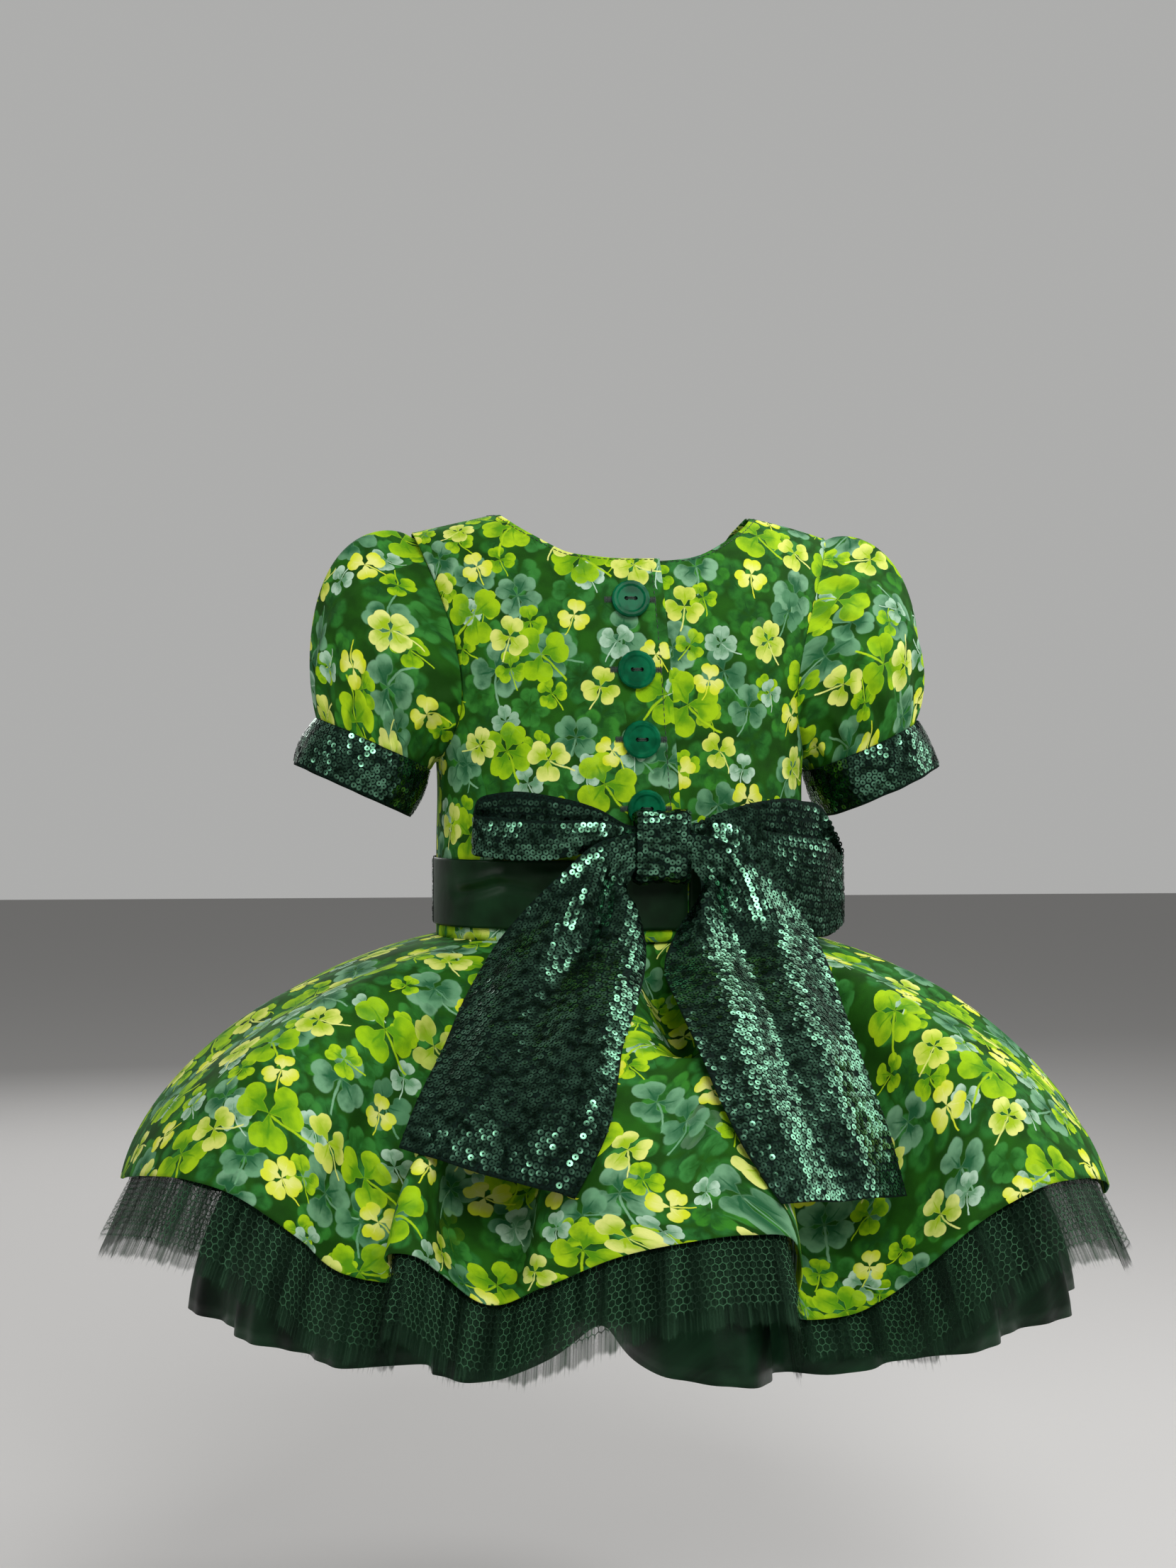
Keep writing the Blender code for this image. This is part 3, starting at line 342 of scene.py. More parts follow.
class Finish:
    """A material with one Principled shader, whose other nodes are added by node()."""

    def __init__(self, name, **sockets):
        self.material = bpy.data.materials.new(name)
        self.material.use_nodes = True
        self.tree = self.material.node_tree
        self.shader = self.tree.nodes["Principled BSDF"]
        self.set(**sockets)

    def set(self, **sockets):
        """Values or links of the shader's sockets, named with _ for spaces."""
        for name, value in sockets.items():
            title = name.replace("_", " ").title().replace("Ior", "IOR")
            self.join(value, self.shader.inputs[title])

    def join(self, value, socket):
        """Link a number to a socket, or set the socket's own value."""
        if isinstance(value, Number):
            self.tree.links.new(value.socket, socket)
        elif isinstance(value, tuple) and len(value) == 3 and socket.type == "RGBA":
            socket.default_value = (*value, 1.0)
        else:
            socket.default_value = value

    def node(self, kind, settings=None, values=None, output=0):
        """Any node: its type, its settings, the values or links of its sockets, and its output."""
        made = self.tree.nodes.new(kind)
        for name, setting in (settings or {}).items():
            setattr(made, name, setting)
        for name, value in (values or {}).items():
            self.join(value, made.inputs[name])
        return Number(self, made.outputs[output])

    def outputs(self, number, *names):
        """Other outputs of the node that a number comes from."""
        return [Number(self, number.socket.node.outputs[name]) for name in names]

    def math(self, operation, *values):
        """One Math node on numbers and sockets, in the order given."""
        return self.node("ShaderNodeMath", {"operation": operation}, dict(enumerate(values)))

    def flat(self):
        """The cloth's flat coordinates, in metres."""
        return self.node("ShaderNodeUVMap", {"uv_map": "cloth"})

    def parts(self, vector):
        """X and Y of a vector."""
        return self.outputs(self.node("ShaderNodeSeparateXYZ", None, {0: vector}), "X", "Y")

    def vector(self, operation, *others):
        """One Vector Math node."""
        return self.node("ShaderNodeVectorMath", {"operation": operation}, dict(enumerate(others)))

    def mix(self, share, first, second, blend="MIX"):
        """Two colours mixed by a share."""
        settings = {"data_type": "RGBA", "blend_type": blend}
        return self.node("ShaderNodeMix", settings, {0: share, 6: first, 7: second}, output=2)

    def noise(self, where, size, detail=3.0, roughness=0.5):
        """Soft cloudy noise, with patches of a size in metres."""
        values = {"Vector": where, "Scale": 1 / size, "Detail": detail, "Roughness": roughness}
        return self.node("ShaderNodeTexNoise", {"noise_dimensions": "3D"}, values)

    def bump(self, height, depth, strength=1.0):
        """Bump that feeds the shader's normal, with its depth in metres."""
        values = {"Height": height, "Distance": depth, "Strength": strength}
        self.set(normal=self.node("ShaderNodeBump", None, values))


print("a finish can use:", [name for name in vars(Finish) if not name.startswith("_")])


# %% [markdown]
# ## The clover print
#
# The cotton is printed in watercolour: soft clovers in the dark ground, and over them clovers in
# teal, lime, pale yellow and mint. Each layer is a Voronoi pattern whose cells hold one clover
# each, turned and sized by the cell's own random colour. A leaf is a heart: a wedge from the
# middle that ends in two circles. All leaves of a clover come from one of them, because the angle
# is folded into one leaf's share of the circle. The layout is the pattern's own.

# %% Clover colours
GROUND = (0.009, 0.056, 0.003)
GROUND_LIGHT = (0.018, 0.115, 0.006)
GROUND_CLOUD = 0.018
WOBBLE, WOBBLE_LENGTH = 0.0022, 0.007
JITTER = 0.30
SIZES = (0.82, 0.22)
TURNS = 2.2
THREE_LEAVES = 0.85
LEAF_MIDDLE = (0.60, 0.20)
LEAF_ROUND = 0.325
LEAF_WEDGE = 0.62
STEM_BEND, STEM_HALF_WIDTH, STEM_LENGTH = 0.7, 0.04, 1.25
VEIN_HALF_WIDTH, VEIN_LENGTH = 0.02, 0.75
RED_SPREAD, GREEN_SPREAD = 7.13, 5.31
# Each leaf colour: inside, rim, other rim
SHADOW = ((0.010, 0.075, 0.010), (0.026, 0.175, 0.016), (0.030, 0.19, 0.035))
PALE_SHADOW = ((0.014, 0.105, 0.010), (0.042, 0.25, 0.016), (0.046, 0.24, 0.05))
TEAL = ((0.018, 0.115, 0.042), (0.130, 0.33, 0.165), (0.24, 0.48, 0.28))
DARK_TEAL = ((0.018, 0.115, 0.042), (0.100, 0.28, 0.135), (0.17, 0.40, 0.21))
LIME = ((0.100, 0.31, 0.004), (0.34, 0.60, 0.004), (0.46, 0.70, 0.01))
MINT = ((0.13, 0.31, 0.16), (0.36, 0.58, 0.40), (0.52, 0.73, 0.56))
YELLOW = ((0.36, 0.55, 0.01), (0.76, 0.81, 0.15), (0.86, 0.90, 0.28))
PALE_YELLOW = ((0.86, 0.89, 0.26), (0.66, 0.76, 0.01), (0.74, 0.82, 0.04))
CLOVER_LAYERS = (
    # radius and step in metres, turn, place in the step, seed, softness, share shown, colours
    (0.0135, 0.027, 1.10, 0.0, 0.0, 3, 0.22, 0.95, SHADOW),
    (0.0115, 0.031, 1.90, 0.0, 0.0, 7, 0.12, 0.90, PALE_SHADOW),
    (0.0148, 0.052, 0.42, 0.5, 0.5, 11, 0.07, 0.97, TEAL),
    (0.0130, 0.060, 0.80, 0.2, 0.1, 5, 0.08, 0.80, DARK_TEAL),
    (0.0092, 0.026, 0.42, 0.5, 0.5, 13, 0.04, 0.46, LIME),
    (0.0090, 0.030, 1.30, 0.1, 0.3, 19, 0.05, 0.40, MINT),
    (0.0165, 0.052, 0.42, 0.0, 0.0, 17, 0.03, 0.85, LIME),
    (0.0118, 0.052, 0.42, 0.5, 0.0, 37, 0.03, 0.95, YELLOW),
    (0.0098, 0.052, 0.42, 0.0, 0.5, 41, 0.04, 0.85, PALE_YELLOW),
)
print("the print has", len(CLOVER_LAYERS), "layers of clovers")

# %% [markdown]
# Every layer goes through the same function, which lays its clovers over the colour below. The
# whole print wobbles a little, as paint does on wet paper, and has a fine weave as its relief.

# %% Clover print
def clover_layer(finish, below, where, layer):
    """One layer of clovers over the colour below it.

    With d the distance from the clover's middle and f the folded angle, a leaf is where the point
    (d cos f, |d sin f|) lies in the circle about LEAF_MIDDLE or in the wedge before it. The stem
    is a narrow strip about an arc below the middle.
    """
    radius, step, turn, place_x, place_y, seed, softness, shown, (inner, rim, other_rim) = layer
    placed = finish.node("ShaderNodeMapping", None, {
        "Vector": where, "Location": (seed + place_x, 2 * seed + place_y, 0.0),
        "Rotation": (0.0, 0.0, turn), "Scale": (1 / step,) * 3})
    cell = finish.node("ShaderNodeTexVoronoi", {"voronoi_dimensions": "2D"}, {
        "Vector": placed, "Scale": 1.0, "Randomness": JITTER})
    colour, middle = finish.outputs(cell, "Color", "Position")
    red, green, blue = finish.outputs(
        finish.node("ShaderNodeSeparateColor", None, {0: colour}), "Red", "Green", "Blue")
    scale = (SIZES[0] + SIZES[1] * green) * (radius / step)
    x, y = finish.parts(finish.vector("SUBTRACT", placed, middle))
    distance = (x * x + y * y) ** 0.5 / scale
    angle = y.math("ARCTAN2", x) + (red * TURNS + (math.pi / 2 - turn - TURNS / 2))
    leaves = 3 + blue.math("GREATER_THAN", THREE_LEAVES)
    sector = 2 * math.pi / leaves
    fold = ((angle / sector).math("FRACT") - 0.5) * sector
    out = distance * fold.math("COSINE")
    aside = abs(distance * fold.math("SINE")) * (0.5 + leaves / 6)
    circle = ((out - LEAF_MIDDLE[0]) ** 2.0 + (aside - LEAF_MIDDLE[1]) ** 2.0) ** 0.5 - LEAF_ROUND
    wedge = (aside - out * LEAF_WEDGE).math("MAXIMUM", out - LEAF_MIDDLE[0])
    edge = circle.math("MINIMUM", wedge)
    inside = (0 - edge).between(-softness * 0.5, softness * 0.5)

    down, across = distance * angle.math("COSINE"), distance * angle.math("SINE")
    bend = (green - 0.5) * down * down * STEM_BEND
    stem = (STEM_HALF_WIDTH - abs(across - bend)).between(-0.015, 0.02) * down.between(0.0, 0.1)
    stem = stem * (STEM_LENGTH - down).between(0.0, 0.05)
    sharp = 1.0 if softness < 0.1 else 0.0
    mask = inside.math("MAXIMUM", stem * sharp)
    mask = mask * (shown - (red * RED_SPREAD).math("FRACT")).between(-0.01, 0.01)

    cloud = finish.noise(placed, 0.16)
    vein = (VEIN_HALF_WIDTH - aside).between(-0.02, 0.01) * (VEIN_LENGTH - out).between(0.0, 0.3)
    shade = (distance * 0.85 + (cloud - 0.5) * 1.3 - vein * 0.25).between(0.12, 0.86)
    other = (green * GREEN_SPREAD + blue).math("FRACT")
    leaf = finish.mix(shade, inner, finish.mix(other, rim, other_rim))
    watermark = (edge + 0.035).between(0.0, 0.03) * 0.35 * sharp
    leaf = finish.mix(watermark.math("MAXIMUM", stem * 0.6), leaf, other_rim)
    return finish.mix(mask * (0.97 if sharp else 0.9), below, leaf)


def print_finish():
    """Cotton with the clover print, a soft sheen and a fine weave."""
    finish = Finish("clover_print", roughness=0.8, specular_ior_level=0.12)
    where = finish.flat()
    wobble = finish.outputs(finish.noise(where, WOBBLE_LENGTH), "Color")[0]
    wobble = finish.vector("SUBTRACT", wobble, (0.5, 0.5, 0.5))
    warped = finish.vector("MULTIPLY_ADD", wobble, (WOBBLE, WOBBLE, 0.0), where)
    cloud = finish.noise(where, GROUND_CLOUD, 4.0)
    colour = finish.mix(cloud.between(0.35, 0.7), GROUND, GROUND_LIGHT)
    for layer in CLOVER_LAYERS:
        colour = clover_layer(finish, colour, warped, layer)
    finish.set(base_color=colour)
    weave = finish.noise(where, 0.0007, 1.0) + finish.noise(where, 0.004, 2.0) * 0.5
    finish.bump(weave, 0.00015, 0.6)
    return finish.material


clover_print = print_finish()
print("clover print with", len(clover_print.node_tree.nodes), "nodes")

# %% [markdown]
# ## Satin, sequins, thread and button plastic
#
# Satin is dark and shows a soft broad gloss with fine creases. The sequin cloth is a dark mesh
# with small flat rings sewn on it, which are made as real rings further down. The mesh, the rings,
# the thread and the buttons each need two colours in patches, so one function makes all four. On
# the rings the lighter colour reflects far more than the darker one: its patches are painted
# glints, which make some sequins shine brighter than others.

# %% Finishes in two colours
SATIN_DARK, SATIN_LIGHT = (0.003, 0.013, 0.004), (0.009, 0.042, 0.014)
LINING_DARK, LINING_LIGHT = (0.001, 0.006, 0.002), (0.013, 0.052, 0.022)
MESH_DARK, MESH_LIGHT = (0.001, 0.005, 0.003), (0.004, 0.017, 0.011)
# sequin colours are a metal's reflection; the far lighter one, set in random patches, is painted
# glint
SEQUIN_DARK, SEQUIN_GLINT = (0.013, 0.034, 0.019), (0.122, 0.290, 0.186)
# net colours: the lighter one goes on along the pleats and the darker between them, as painted
# light and shade
NET_DARK, NET_LIGHT = (0.004, 0.015, 0.007), (0.052, 0.145, 0.072)
BUTTON_DARK, BUTTON_LIGHT = (0.0, 0.070, 0.026), (0.001, 0.140, 0.055)
THREAD_DARK, THREAD_LIGHT = (0.002, 0.014, 0.008), (0.008, 0.042, 0.020)
SATIN_CLOUD, SATIN_HANDLING, SATIN_RIBS, SATIN_RELIEF = 0.03, 0.009, 900.0, 0.0011


def satin_finish(name, dark, light, roughness):
    """Satin: a broad gloss, cloudy colour, fine ribs and a soft relief from handling."""
    finish = Finish(name, roughness=roughness, specular_ior_level=0.14)
    where = finish.flat()
    cloud = finish.noise(where, SATIN_CLOUD, 4.0)
    finish.set(base_color=finish.mix(cloud.between(0.3, 0.7), dark, light))
    ribs = finish.node("ShaderNodeTexWave", {"wave_type": "BANDS", "bands_direction": "DIAGONAL"},
                       {"Vector": where, "Scale": SATIN_RIBS, "Distortion": 1.0})
    handling = finish.noise(where, SATIN_HANDLING, 2.0)
    finish.bump(cloud + handling * 0.25 + ribs * 0.01, SATIN_RELIEF, 0.5)
    return finish.material


def patchy_finish(name, dark, light, patches, relief=None, flat=False, **sockets):
    """Two colours mixed by a noise, whose size, detail and two edges are given by patches.

    A relief is a second noise, by its size and detail, with the bump's depth and strength.
    """
    finish = Finish(name, **sockets)
    where = finish.flat() if flat else finish.node("ShaderNodeTexCoord", output="Object")
    size, detail, low, high = patches
    patch = finish.noise(where, size, detail).between(low, high)
    finish.set(base_color=finish.mix(patch, dark, light))
    if relief:
        size, detail, depth, strength = relief
        finish.bump(finish.noise(where, size, detail), depth, strength)
    return finish.material


satin = satin_finish("satin", SATIN_DARK, SATIN_LIGHT, 0.38)
petticoat_satin = satin_finish("petticoat_satin", LINING_DARK, LINING_LIGHT, 0.42)
sequin_cloth = patchy_finish(
    "sequin_cloth", MESH_DARK, MESH_LIGHT, (0.0012, 2.0, 0.35, 0.65), (0.0012, 2.0, 0.0004, 0.8),
    flat=True, roughness=0.8, specular_ior_level=0.1)
# the sequins' lighter patches are painted glints: some rings shine brighter than others
sequin = patchy_finish(
    "sequin", SEQUIN_DARK, SEQUIN_GLINT, (0.005, 3.0, 0.32, 0.68), metallic=1.0, roughness=0.24)
button_plastic = patchy_finish(
    "button_plastic", BUTTON_DARK, BUTTON_LIGHT, (0.008, 2.0, 0.35, 0.65),
    (0.0015, 1.0, 0.00005, 0.3), roughness=0.36, specular_ior_level=0.08)
sewing_thread = patchy_finish(
    "sewing_thread", THREAD_DARK, THREAD_LIGHT, (0.0004, 1.0, 0.4, 0.6), (0.0004, 1.0, 0.0001, 0.5),
    roughness=0.65, sheen_weight=0.2)
print("finishes:", [finish.name for finish in (satin, petticoat_satin, sequin_cloth, sequin,
                                               button_plastic, sewing_thread)])

# %% [markdown]
# ## Net
#
# A net has far too many holes to model. Its mesh is worked out as a distance to the nearest side
# of a honeycomb, and the holes are cut by the material's alpha. The same alpha frays the edge.

# %% Net finish
LATTICE_STEP = (1.0, math.sqrt(3.0), 1.0)
LATTICE_HALF = (0.5, math.sqrt(3.0) / 2, 0.5)
LATTICE_AWAY = (400.0, 300 * math.sqrt(3.0), 0.0)
FINE_STREAKS, BROAD_STREAKS, EDGE_STREAKS = (820.0, 16.0), (110.0, 5.0), (150.0, 0.0)
THREAD_COVER, LOOSE_COVER = 0.85, 0.18


def honeycomb(finish, where, size):
    """Distance from the nearest side of a honeycomb, from 0 at a side to 0.5 in the middle.

    Two lattices of points, half a step apart, hold the cells' middles. The nearer one gives the
    offset, and the larger of |x| and |x| / 2 + |y| * sqrt(3) / 2 is the distance from the middle.
    """
    scaled = finish.node("ShaderNodeMapping", None, {"Vector": where, "Scale": (1 / size,) * 3})
    distances = []
    for start in (scaled, finish.vector("ADD", scaled, LATTICE_HALF)):
        positive = finish.vector("ADD", start, LATTICE_AWAY)
        inside = finish.vector("MODULO", positive, LATTICE_STEP)
        x, y = finish.parts(finish.vector("SUBTRACT", inside, LATTICE_HALF))
        slant = abs(x) * 0.5 + abs(y) * (math.sqrt(3.0) / 2)
        distances.append(abs(x).math("MAXIMUM", slant))
    return 0.5 - distances[0].math("MINIMUM", distances[1])


def net_finish(name, size, thread, veil, frayed):
    """Net whose holes are clear. Fine pleats run down it, and its edge frays into loose strands.
    The pleats are streaks of denser cover, and bands of lighter and darker colour in the threads,
    which are painted light and shade.

    The map's second coordinate is the distance from the edge, and its first runs round the edge.
    Size is a hole's, thread is half a thread's share of it, veil is how much the pleats cover, and
    frayed is how far the edge frays.
    """
    finish = Finish(name, roughness=0.85, specular_ior_level=0.1)
    where = finish.flat()
    mesh = (thread - honeycomb(finish, where, size)).between(-0.05, 0.05)
    x, y = finish.parts(where)

    def streaks(across, down):
        """Noise that changes fast round the edge and slowly down the net."""
        place = finish.node("ShaderNodeCombineXYZ", None, {"X": x * across, "Y": y * down})
        return finish.node("ShaderNodeTexNoise", {"noise_dimensions": "2D"},
                           {"Vector": place, "Scale": 1.0, "Detail": 3.0})

    fine, broad, edge = streaks(*FINE_STREAKS), streaks(*BROAD_STREAKS), streaks(*EDGE_STREAKS)
    pleat = fine.between(0.45, 0.68) * 0.5 + broad.between(0.4, 0.65) * 0.5
    cover = (mesh * THREAD_COVER).math("MAXIMUM", veil * (0.4 + pleat))
    whole = (y - edge * frayed * 1.3).between(-0.1 * frayed, frayed * 0.3)
    loose = fine.between(0.52, 0.64) * (y / frayed).between(0.0, 0.8) * LOOSE_COVER
    finish.set(alpha=whole * cover + (1 - whole) * loose)
    # painted light and shade: the threads are lighter along the pleats and darker between the broad
    # streaks
    shade = mesh * broad.between(0.35, 0.65) + pleat * 0.3
    finish.set(base_color=finish.mix(shade, NET_DARK, NET_LIGHT))
    return finish.material


hex_net = net_finish("hex_net", size=0.0034, thread=0.055, veil=0.08, frayed=0.004)
tulle = net_finish("tulle", size=0.0016, thread=0.01, veil=0.50, frayed=0.006)
print("nets:", hex_net.name, "and", tulle.name, "with", len(tulle.node_tree.nodes), "nodes each")

# %% [markdown]
# ## The bodice
#
# The bodice is cut as one front and two backs. Its form is a stack of rounded rings, closed towards
# the shoulder seams. Each panel is stretched between its inner edge, which is the opening and the
# neckline, and its outer edge, which is the side seam and the armhole.

# %% Bodice form
SEAM = 0.04
WALL = 1.2
LAYER = 0.45
LEVELS = (
    # height, half width, back, front
    (-213, 95, 74, 80), (-170, 95, 74, 80), (-125, 95, 75, 81), (-100, 98, 76, 81),
    (-67, 104, 76, 80), (-38, 109, 75, 78), (-6, 112, 74, 76), (15, 112, 74, 76),
)
RING_POWER = 2.4
DOME_POWER = 2.6
DOME_FROM = -80.0
RIDGE = ((0.0, 12.0), (67.0, 4.0), (109.0, -6.0), (125.0, -10.0))
WAIST_HEIGHT = -213.0
HALF_STEP = 0.5
MAP_STEPS = 33


def level_sizes(height):
    """Half width, back depth and front depth of the bodice at a height."""
    table = np.array(LEVELS)
    return np.moveaxis(smooth(height, table[:, 0], table[:, 1:]), -1, 0)


def torso(angle, height, face):
    """Outer surface of the bodice, at an angle from the middle of its back (face -1) or front (1).

    A level is a superellipse: across is half width * sin(angle) ** (2 / p), and the depth follows
    cos(angle) ** (2 / p). Above DOME_FROM the depth closes to the shoulder ridge the same way.
    """
    half_width, back, front = level_sizes(height)
    turn = np.radians(angle)
    sine, cosine = np.sin(turn), np.cos(turn)
    x = half_width * squared(sine, RING_POWER)
    depth = np.where(face < 0, back, front) * squared(cosine, RING_POWER)
    ridge = np.interp(np.abs(x), *np.array(RIDGE).T)
    height = np.minimum(height, ridge)
    rise = np.clip((height - DOME_FROM) / (ridge - DOME_FROM), 0.0, 1.0)
    depth = depth * (1 - rise ** DOME_POWER) ** (1 / DOME_POWER)
    return np.stack([x, face * (depth + SEAM / 2), height], axis=-1)


def torso_normal(angle, height, face):
    """Outward normal of the bodice's surface, from its slopes across and up."""
    height = torso(angle, height, face)[..., 2]
    across = torso(angle + HALF_STEP, height, face) - torso(angle - HALF_STEP, height, face)
    up = torso(angle, height + HALF_STEP, face) - torso(angle, height - HALF_STEP, face)
    return unit(np.cross(across, up)) * -face


def angle_at(x, height):
    """Angle from the middle at which the bodice's surface lies at a distance across."""
    share = np.clip(np.abs(x) / level_sizes(height)[0], 0.0, 1.0)
    return np.sign(x) * np.degrees(np.arcsin(share ** (RING_POWER / 2)))


waist = torso(np.array([0.0, 90.0]), WAIST_HEIGHT, -1)
print("at the waist the bodice is", 2 * round(float(waist[1, 0]), 1), "mm wide")

# %% [markdown]
# The edges are where a pattern is cut: the opening, the neckline, the side seam and the armhole.
# A panel's rows run up its side seam first and then round its armhole, or up the opening and then
# along the neckline. Its columns run from the inner edge to the outer one.

# %% Bodice outlines
UNDERARM_HEIGHT = -125.0
NECK_HALF_WIDTH = 67.0
SIDE_ROWS, NECK_ROW, PANEL_ROWS = 4, 8, 12
NECKLINE_BACK = (
    # distance from the middle, height
    (0, -25), (16, -24.5), (32, -21.5), (48, -12.5), (60, -3.5), (67, 4),
)
NECKLINE_FRONT = (
    (0, -46), (18, -44.5), (36, -37), (50, -25), (61, -9), (67, 4),
)
ARMHOLE_BACK = (
    # share of the way from the underarm to the shoulder, angle from the middle, height
    (0, 90, -125), (0.12, 74, -119), (0.25, 62, -107), (0.4, 56, -90), (0.55, 55, -70),
    (0.7, 57.5, -49), (0.85, 63.5, -27), (1, 73.3, -6),
)
ARMHOLE_FRONT = (
    (0, 90, -125), (0.12, 73, -119), (0.25, 59, -106), (0.4, 52, -89), (0.55, 50, -69),
    (0.7, 53.5, -48), (0.85, 61.5, -27), (1, 73.3, -6),
)
OPENING_TOP = (-5.0, -39.0)
OPENING_LEAN = 0.075
OVERLAP = 17.0
UNDERLAP = 12.0
OVERLAP_LIFT = 2.3
LIFT_FROM, LIFT_TO = -38.0, -22.0


def opening_middle(height):
    """Distance across of the line of buttons at a height."""
    return OPENING_TOP[0] + OPENING_LEAN * (OPENING_TOP[1] - height)


def left_edge(height):
    """Free edge of the left back panel, past the buttons."""
    return opening_middle(height) + OVERLAP


def right_edge(height):
    """Hidden edge of the right back panel, under the left one."""
    return opening_middle(height) - UNDERLAP


def neck_edge(x, neckline):
    """Height of a neckline at a distance from the middle."""
    return smooth(np.abs(x), *np.array(neckline).T)


def inner_edge(row, side, start, neckline):
    """Angle and height along a panel's inner edge: up to the neckline, then to the shoulder."""
    first_x = start(neckline[0][1])
    top = neck_edge(first_x, neckline)
    up = np.clip(row / NECK_ROW, 0.0, 1.0)
    height = WAIST_HEIGHT + (top - WAIST_HEIGHT) * up
    x = start(height)
    along = np.clip((row - NECK_ROW) / (PANEL_ROWS - NECK_ROW), 0.0, 1.0)
    x = np.where(along > 0, first_x + (side * NECK_HALF_WIDTH - first_x) * along, x)
    height = np.where(along > 0, neck_edge(x, neckline), height)
    return angle_at(x, height), height


def outer_edge(row, side, armhole):
    """Angle and height along a panel's outer edge: up the side seam, then round the armhole."""
    table = np.array(armhole)
    up = np.clip(row / SIDE_ROWS, 0.0, 1.0)
    along = np.clip((row - SIDE_ROWS) / (PANEL_ROWS - SIDE_ROWS), 0.0, 1.0)
    angle, height = np.moveaxis(smooth(along, table[:, 0], table[:, 1:]), -1, 0)
    height = np.where(along > 0, height, WAIST_HEIGHT + (UNDERARM_HEIGHT - WAIST_HEIGHT) * up)
    return side * angle, height


def bodice_map(angle, height, face):
    """Flat coordinates on the bodice: the lengths along its rings and up its lines, summed."""
    steps = np.linspace(0, 1, MAP_STEPS)
    angle, height = angle[..., None], height[..., None]
    across = torso(angle * steps, height + 0 * steps, face)
    up = torso(angle + 0 * steps, WAIST_HEIGHT + (height - WAIST_HEIGHT) * steps, face)
    lengths = [np.linalg.norm(np.diff(line, axis=2), axis=3).sum(axis=2) for line in (across, up)]
    angle = angle[..., 0]
    return np.stack([np.sign(angle) * lengths[0], lengths[1]], axis=-1)


def panel(columns, rows, side, face, start, neckline, armhole):
    """Half of the bodice between its inner and outer edges, as points, normals and map."""
    share, row = np.meshgrid(
        np.linspace(0, 1, columns + 1), np.linspace(0, PANEL_ROWS, rows + 1), indexing="ij")
    inner_angle, inner_height = inner_edge(row, side, start, neckline)
    outer_angle, outer_height = outer_edge(row, side, armhole)
    angle = inner_angle + (outer_angle - inner_angle) * share
    height = inner_height + (outer_height - inner_height) * share
    place = (angle, height, face)
    return torso(*place), torso_normal(*place), bodice_map(*place)


def lifted(points, normals):
    """The left back panel rises over the right one where they overlap."""
    rise = OVERLAP_LIFT * ease((points[..., 0] - LIFT_FROM) / (LIFT_TO - LIFT_FROM))
    return points + rise[..., None] * normals


print("the back panels lap over by", OVERLAP + UNDERLAP, "mm")

# %% [markdown]
# The panels are a little creased: the weight of the bow pulls folds in over the waist, and the
# armholes draw short ones. Each crease is a row of a table, in millimetres on the panel.

# %% Bodice panels
PANEL_FINE_ROWS = 96
FRONT_COLUMNS, LEFT_COLUMNS, RIGHT_COLUMNS = 44, 52, 46
FRONT_PRINT, RIGHT_PRINT = 700.0, 260.0
BACK_CREASES = (
    # across and height at the start, across and height at the end, height of the ridge, width
    (-88, -132, -52, -120, -0.9, 5),
    (-86, -146, -40, -139, 0.7, 5),
    (-80, -163, -22, -158, -0.8, 6),
    (-74, -98, -50, -76, -0.7, 5),
    (30, -160, 84, -166, -0.8, 6),
    (40, -142, 88, -150, 0.7, 5),
    (52, -118, 90, -131, -0.9, 5),
    (54, -78, 76, -98, -0.6, 5),
    (-30, -196, -26, -150, 0.4, 5),
)
FRONT_CREASES = (
    (-86, -136, -44, -124, -0.9, 5),
    (-80, -160, -20, -164, 0.6, 6),
    (46, -122, 88, -134, -0.9, 5),
    (24, -166, 82, -160, 0.7, 6),
    (-20, -118, 22, -121, -0.4, 8),
)


def creased(points, normals, rows):
    """Points moved along their normals by the creases, which are placed by across and height."""
    return points + creases(points[..., [0, 2]], rows)[..., None] * normals


def add_bodice():
    """Front panel in one piece, and two back panels of which the left lies on the right."""
    left, right = (
        panel(FRONT_COLUMNS, PANEL_FINE_ROWS, side, 1, lambda height: 0 * height,
              NECKLINE_FRONT, ARMHOLE_FRONT) for side in (-1, 1))
    points, normals, flat = (np.concatenate([a[::-1], b]) for a, b in zip(left, right))
    points = creased(points, normals, FRONT_CREASES)
    flat = flat + np.array([FRONT_PRINT, 0.0])
    piece = add_cloth("front_panel", points, flat, [clover_print], "print_cotton", ["bodice_front"],
                      outward=-1, parted=FRONT_COLUMNS)
    panels = {"front": (points, normals)}
    for name, columns, side, start, shift, size, area in (
            ("left", LEFT_COLUMNS, -1, left_edge, 0.0, (0.17, 0.218), 0.0265),
            ("right", RIGHT_COLUMNS, 1, right_edge, RIGHT_PRINT, (0.155, 0.218), 0.024)):
        points, normals, flat = panel(
            columns, PANEL_FINE_ROWS, side, -1, start, NECKLINE_BACK, ARMHOLE_BACK)
        if side < 0:
            points = lifted(points, normals)
        points = creased(points, normals, BACK_CREASES)
        flat = flat + np.array([shift, 0.0])
        piece = add_cloth("back_panel_" + name, points, flat, [clover_print], "print_cotton",
                          ["bodice_back_" + name], outward=side)
        panels[name] = (points, normals)
    return panels


bodice_panels = add_bodice()

# %% [markdown]
# ## The sash
#
# The sash is a band over the waist seam: satin on both sides of the back, and sequin cloth on the
# front. It is the bodice's own surface moved out by a wall and a gap, with creases where wear and
# the knot have pulled it.

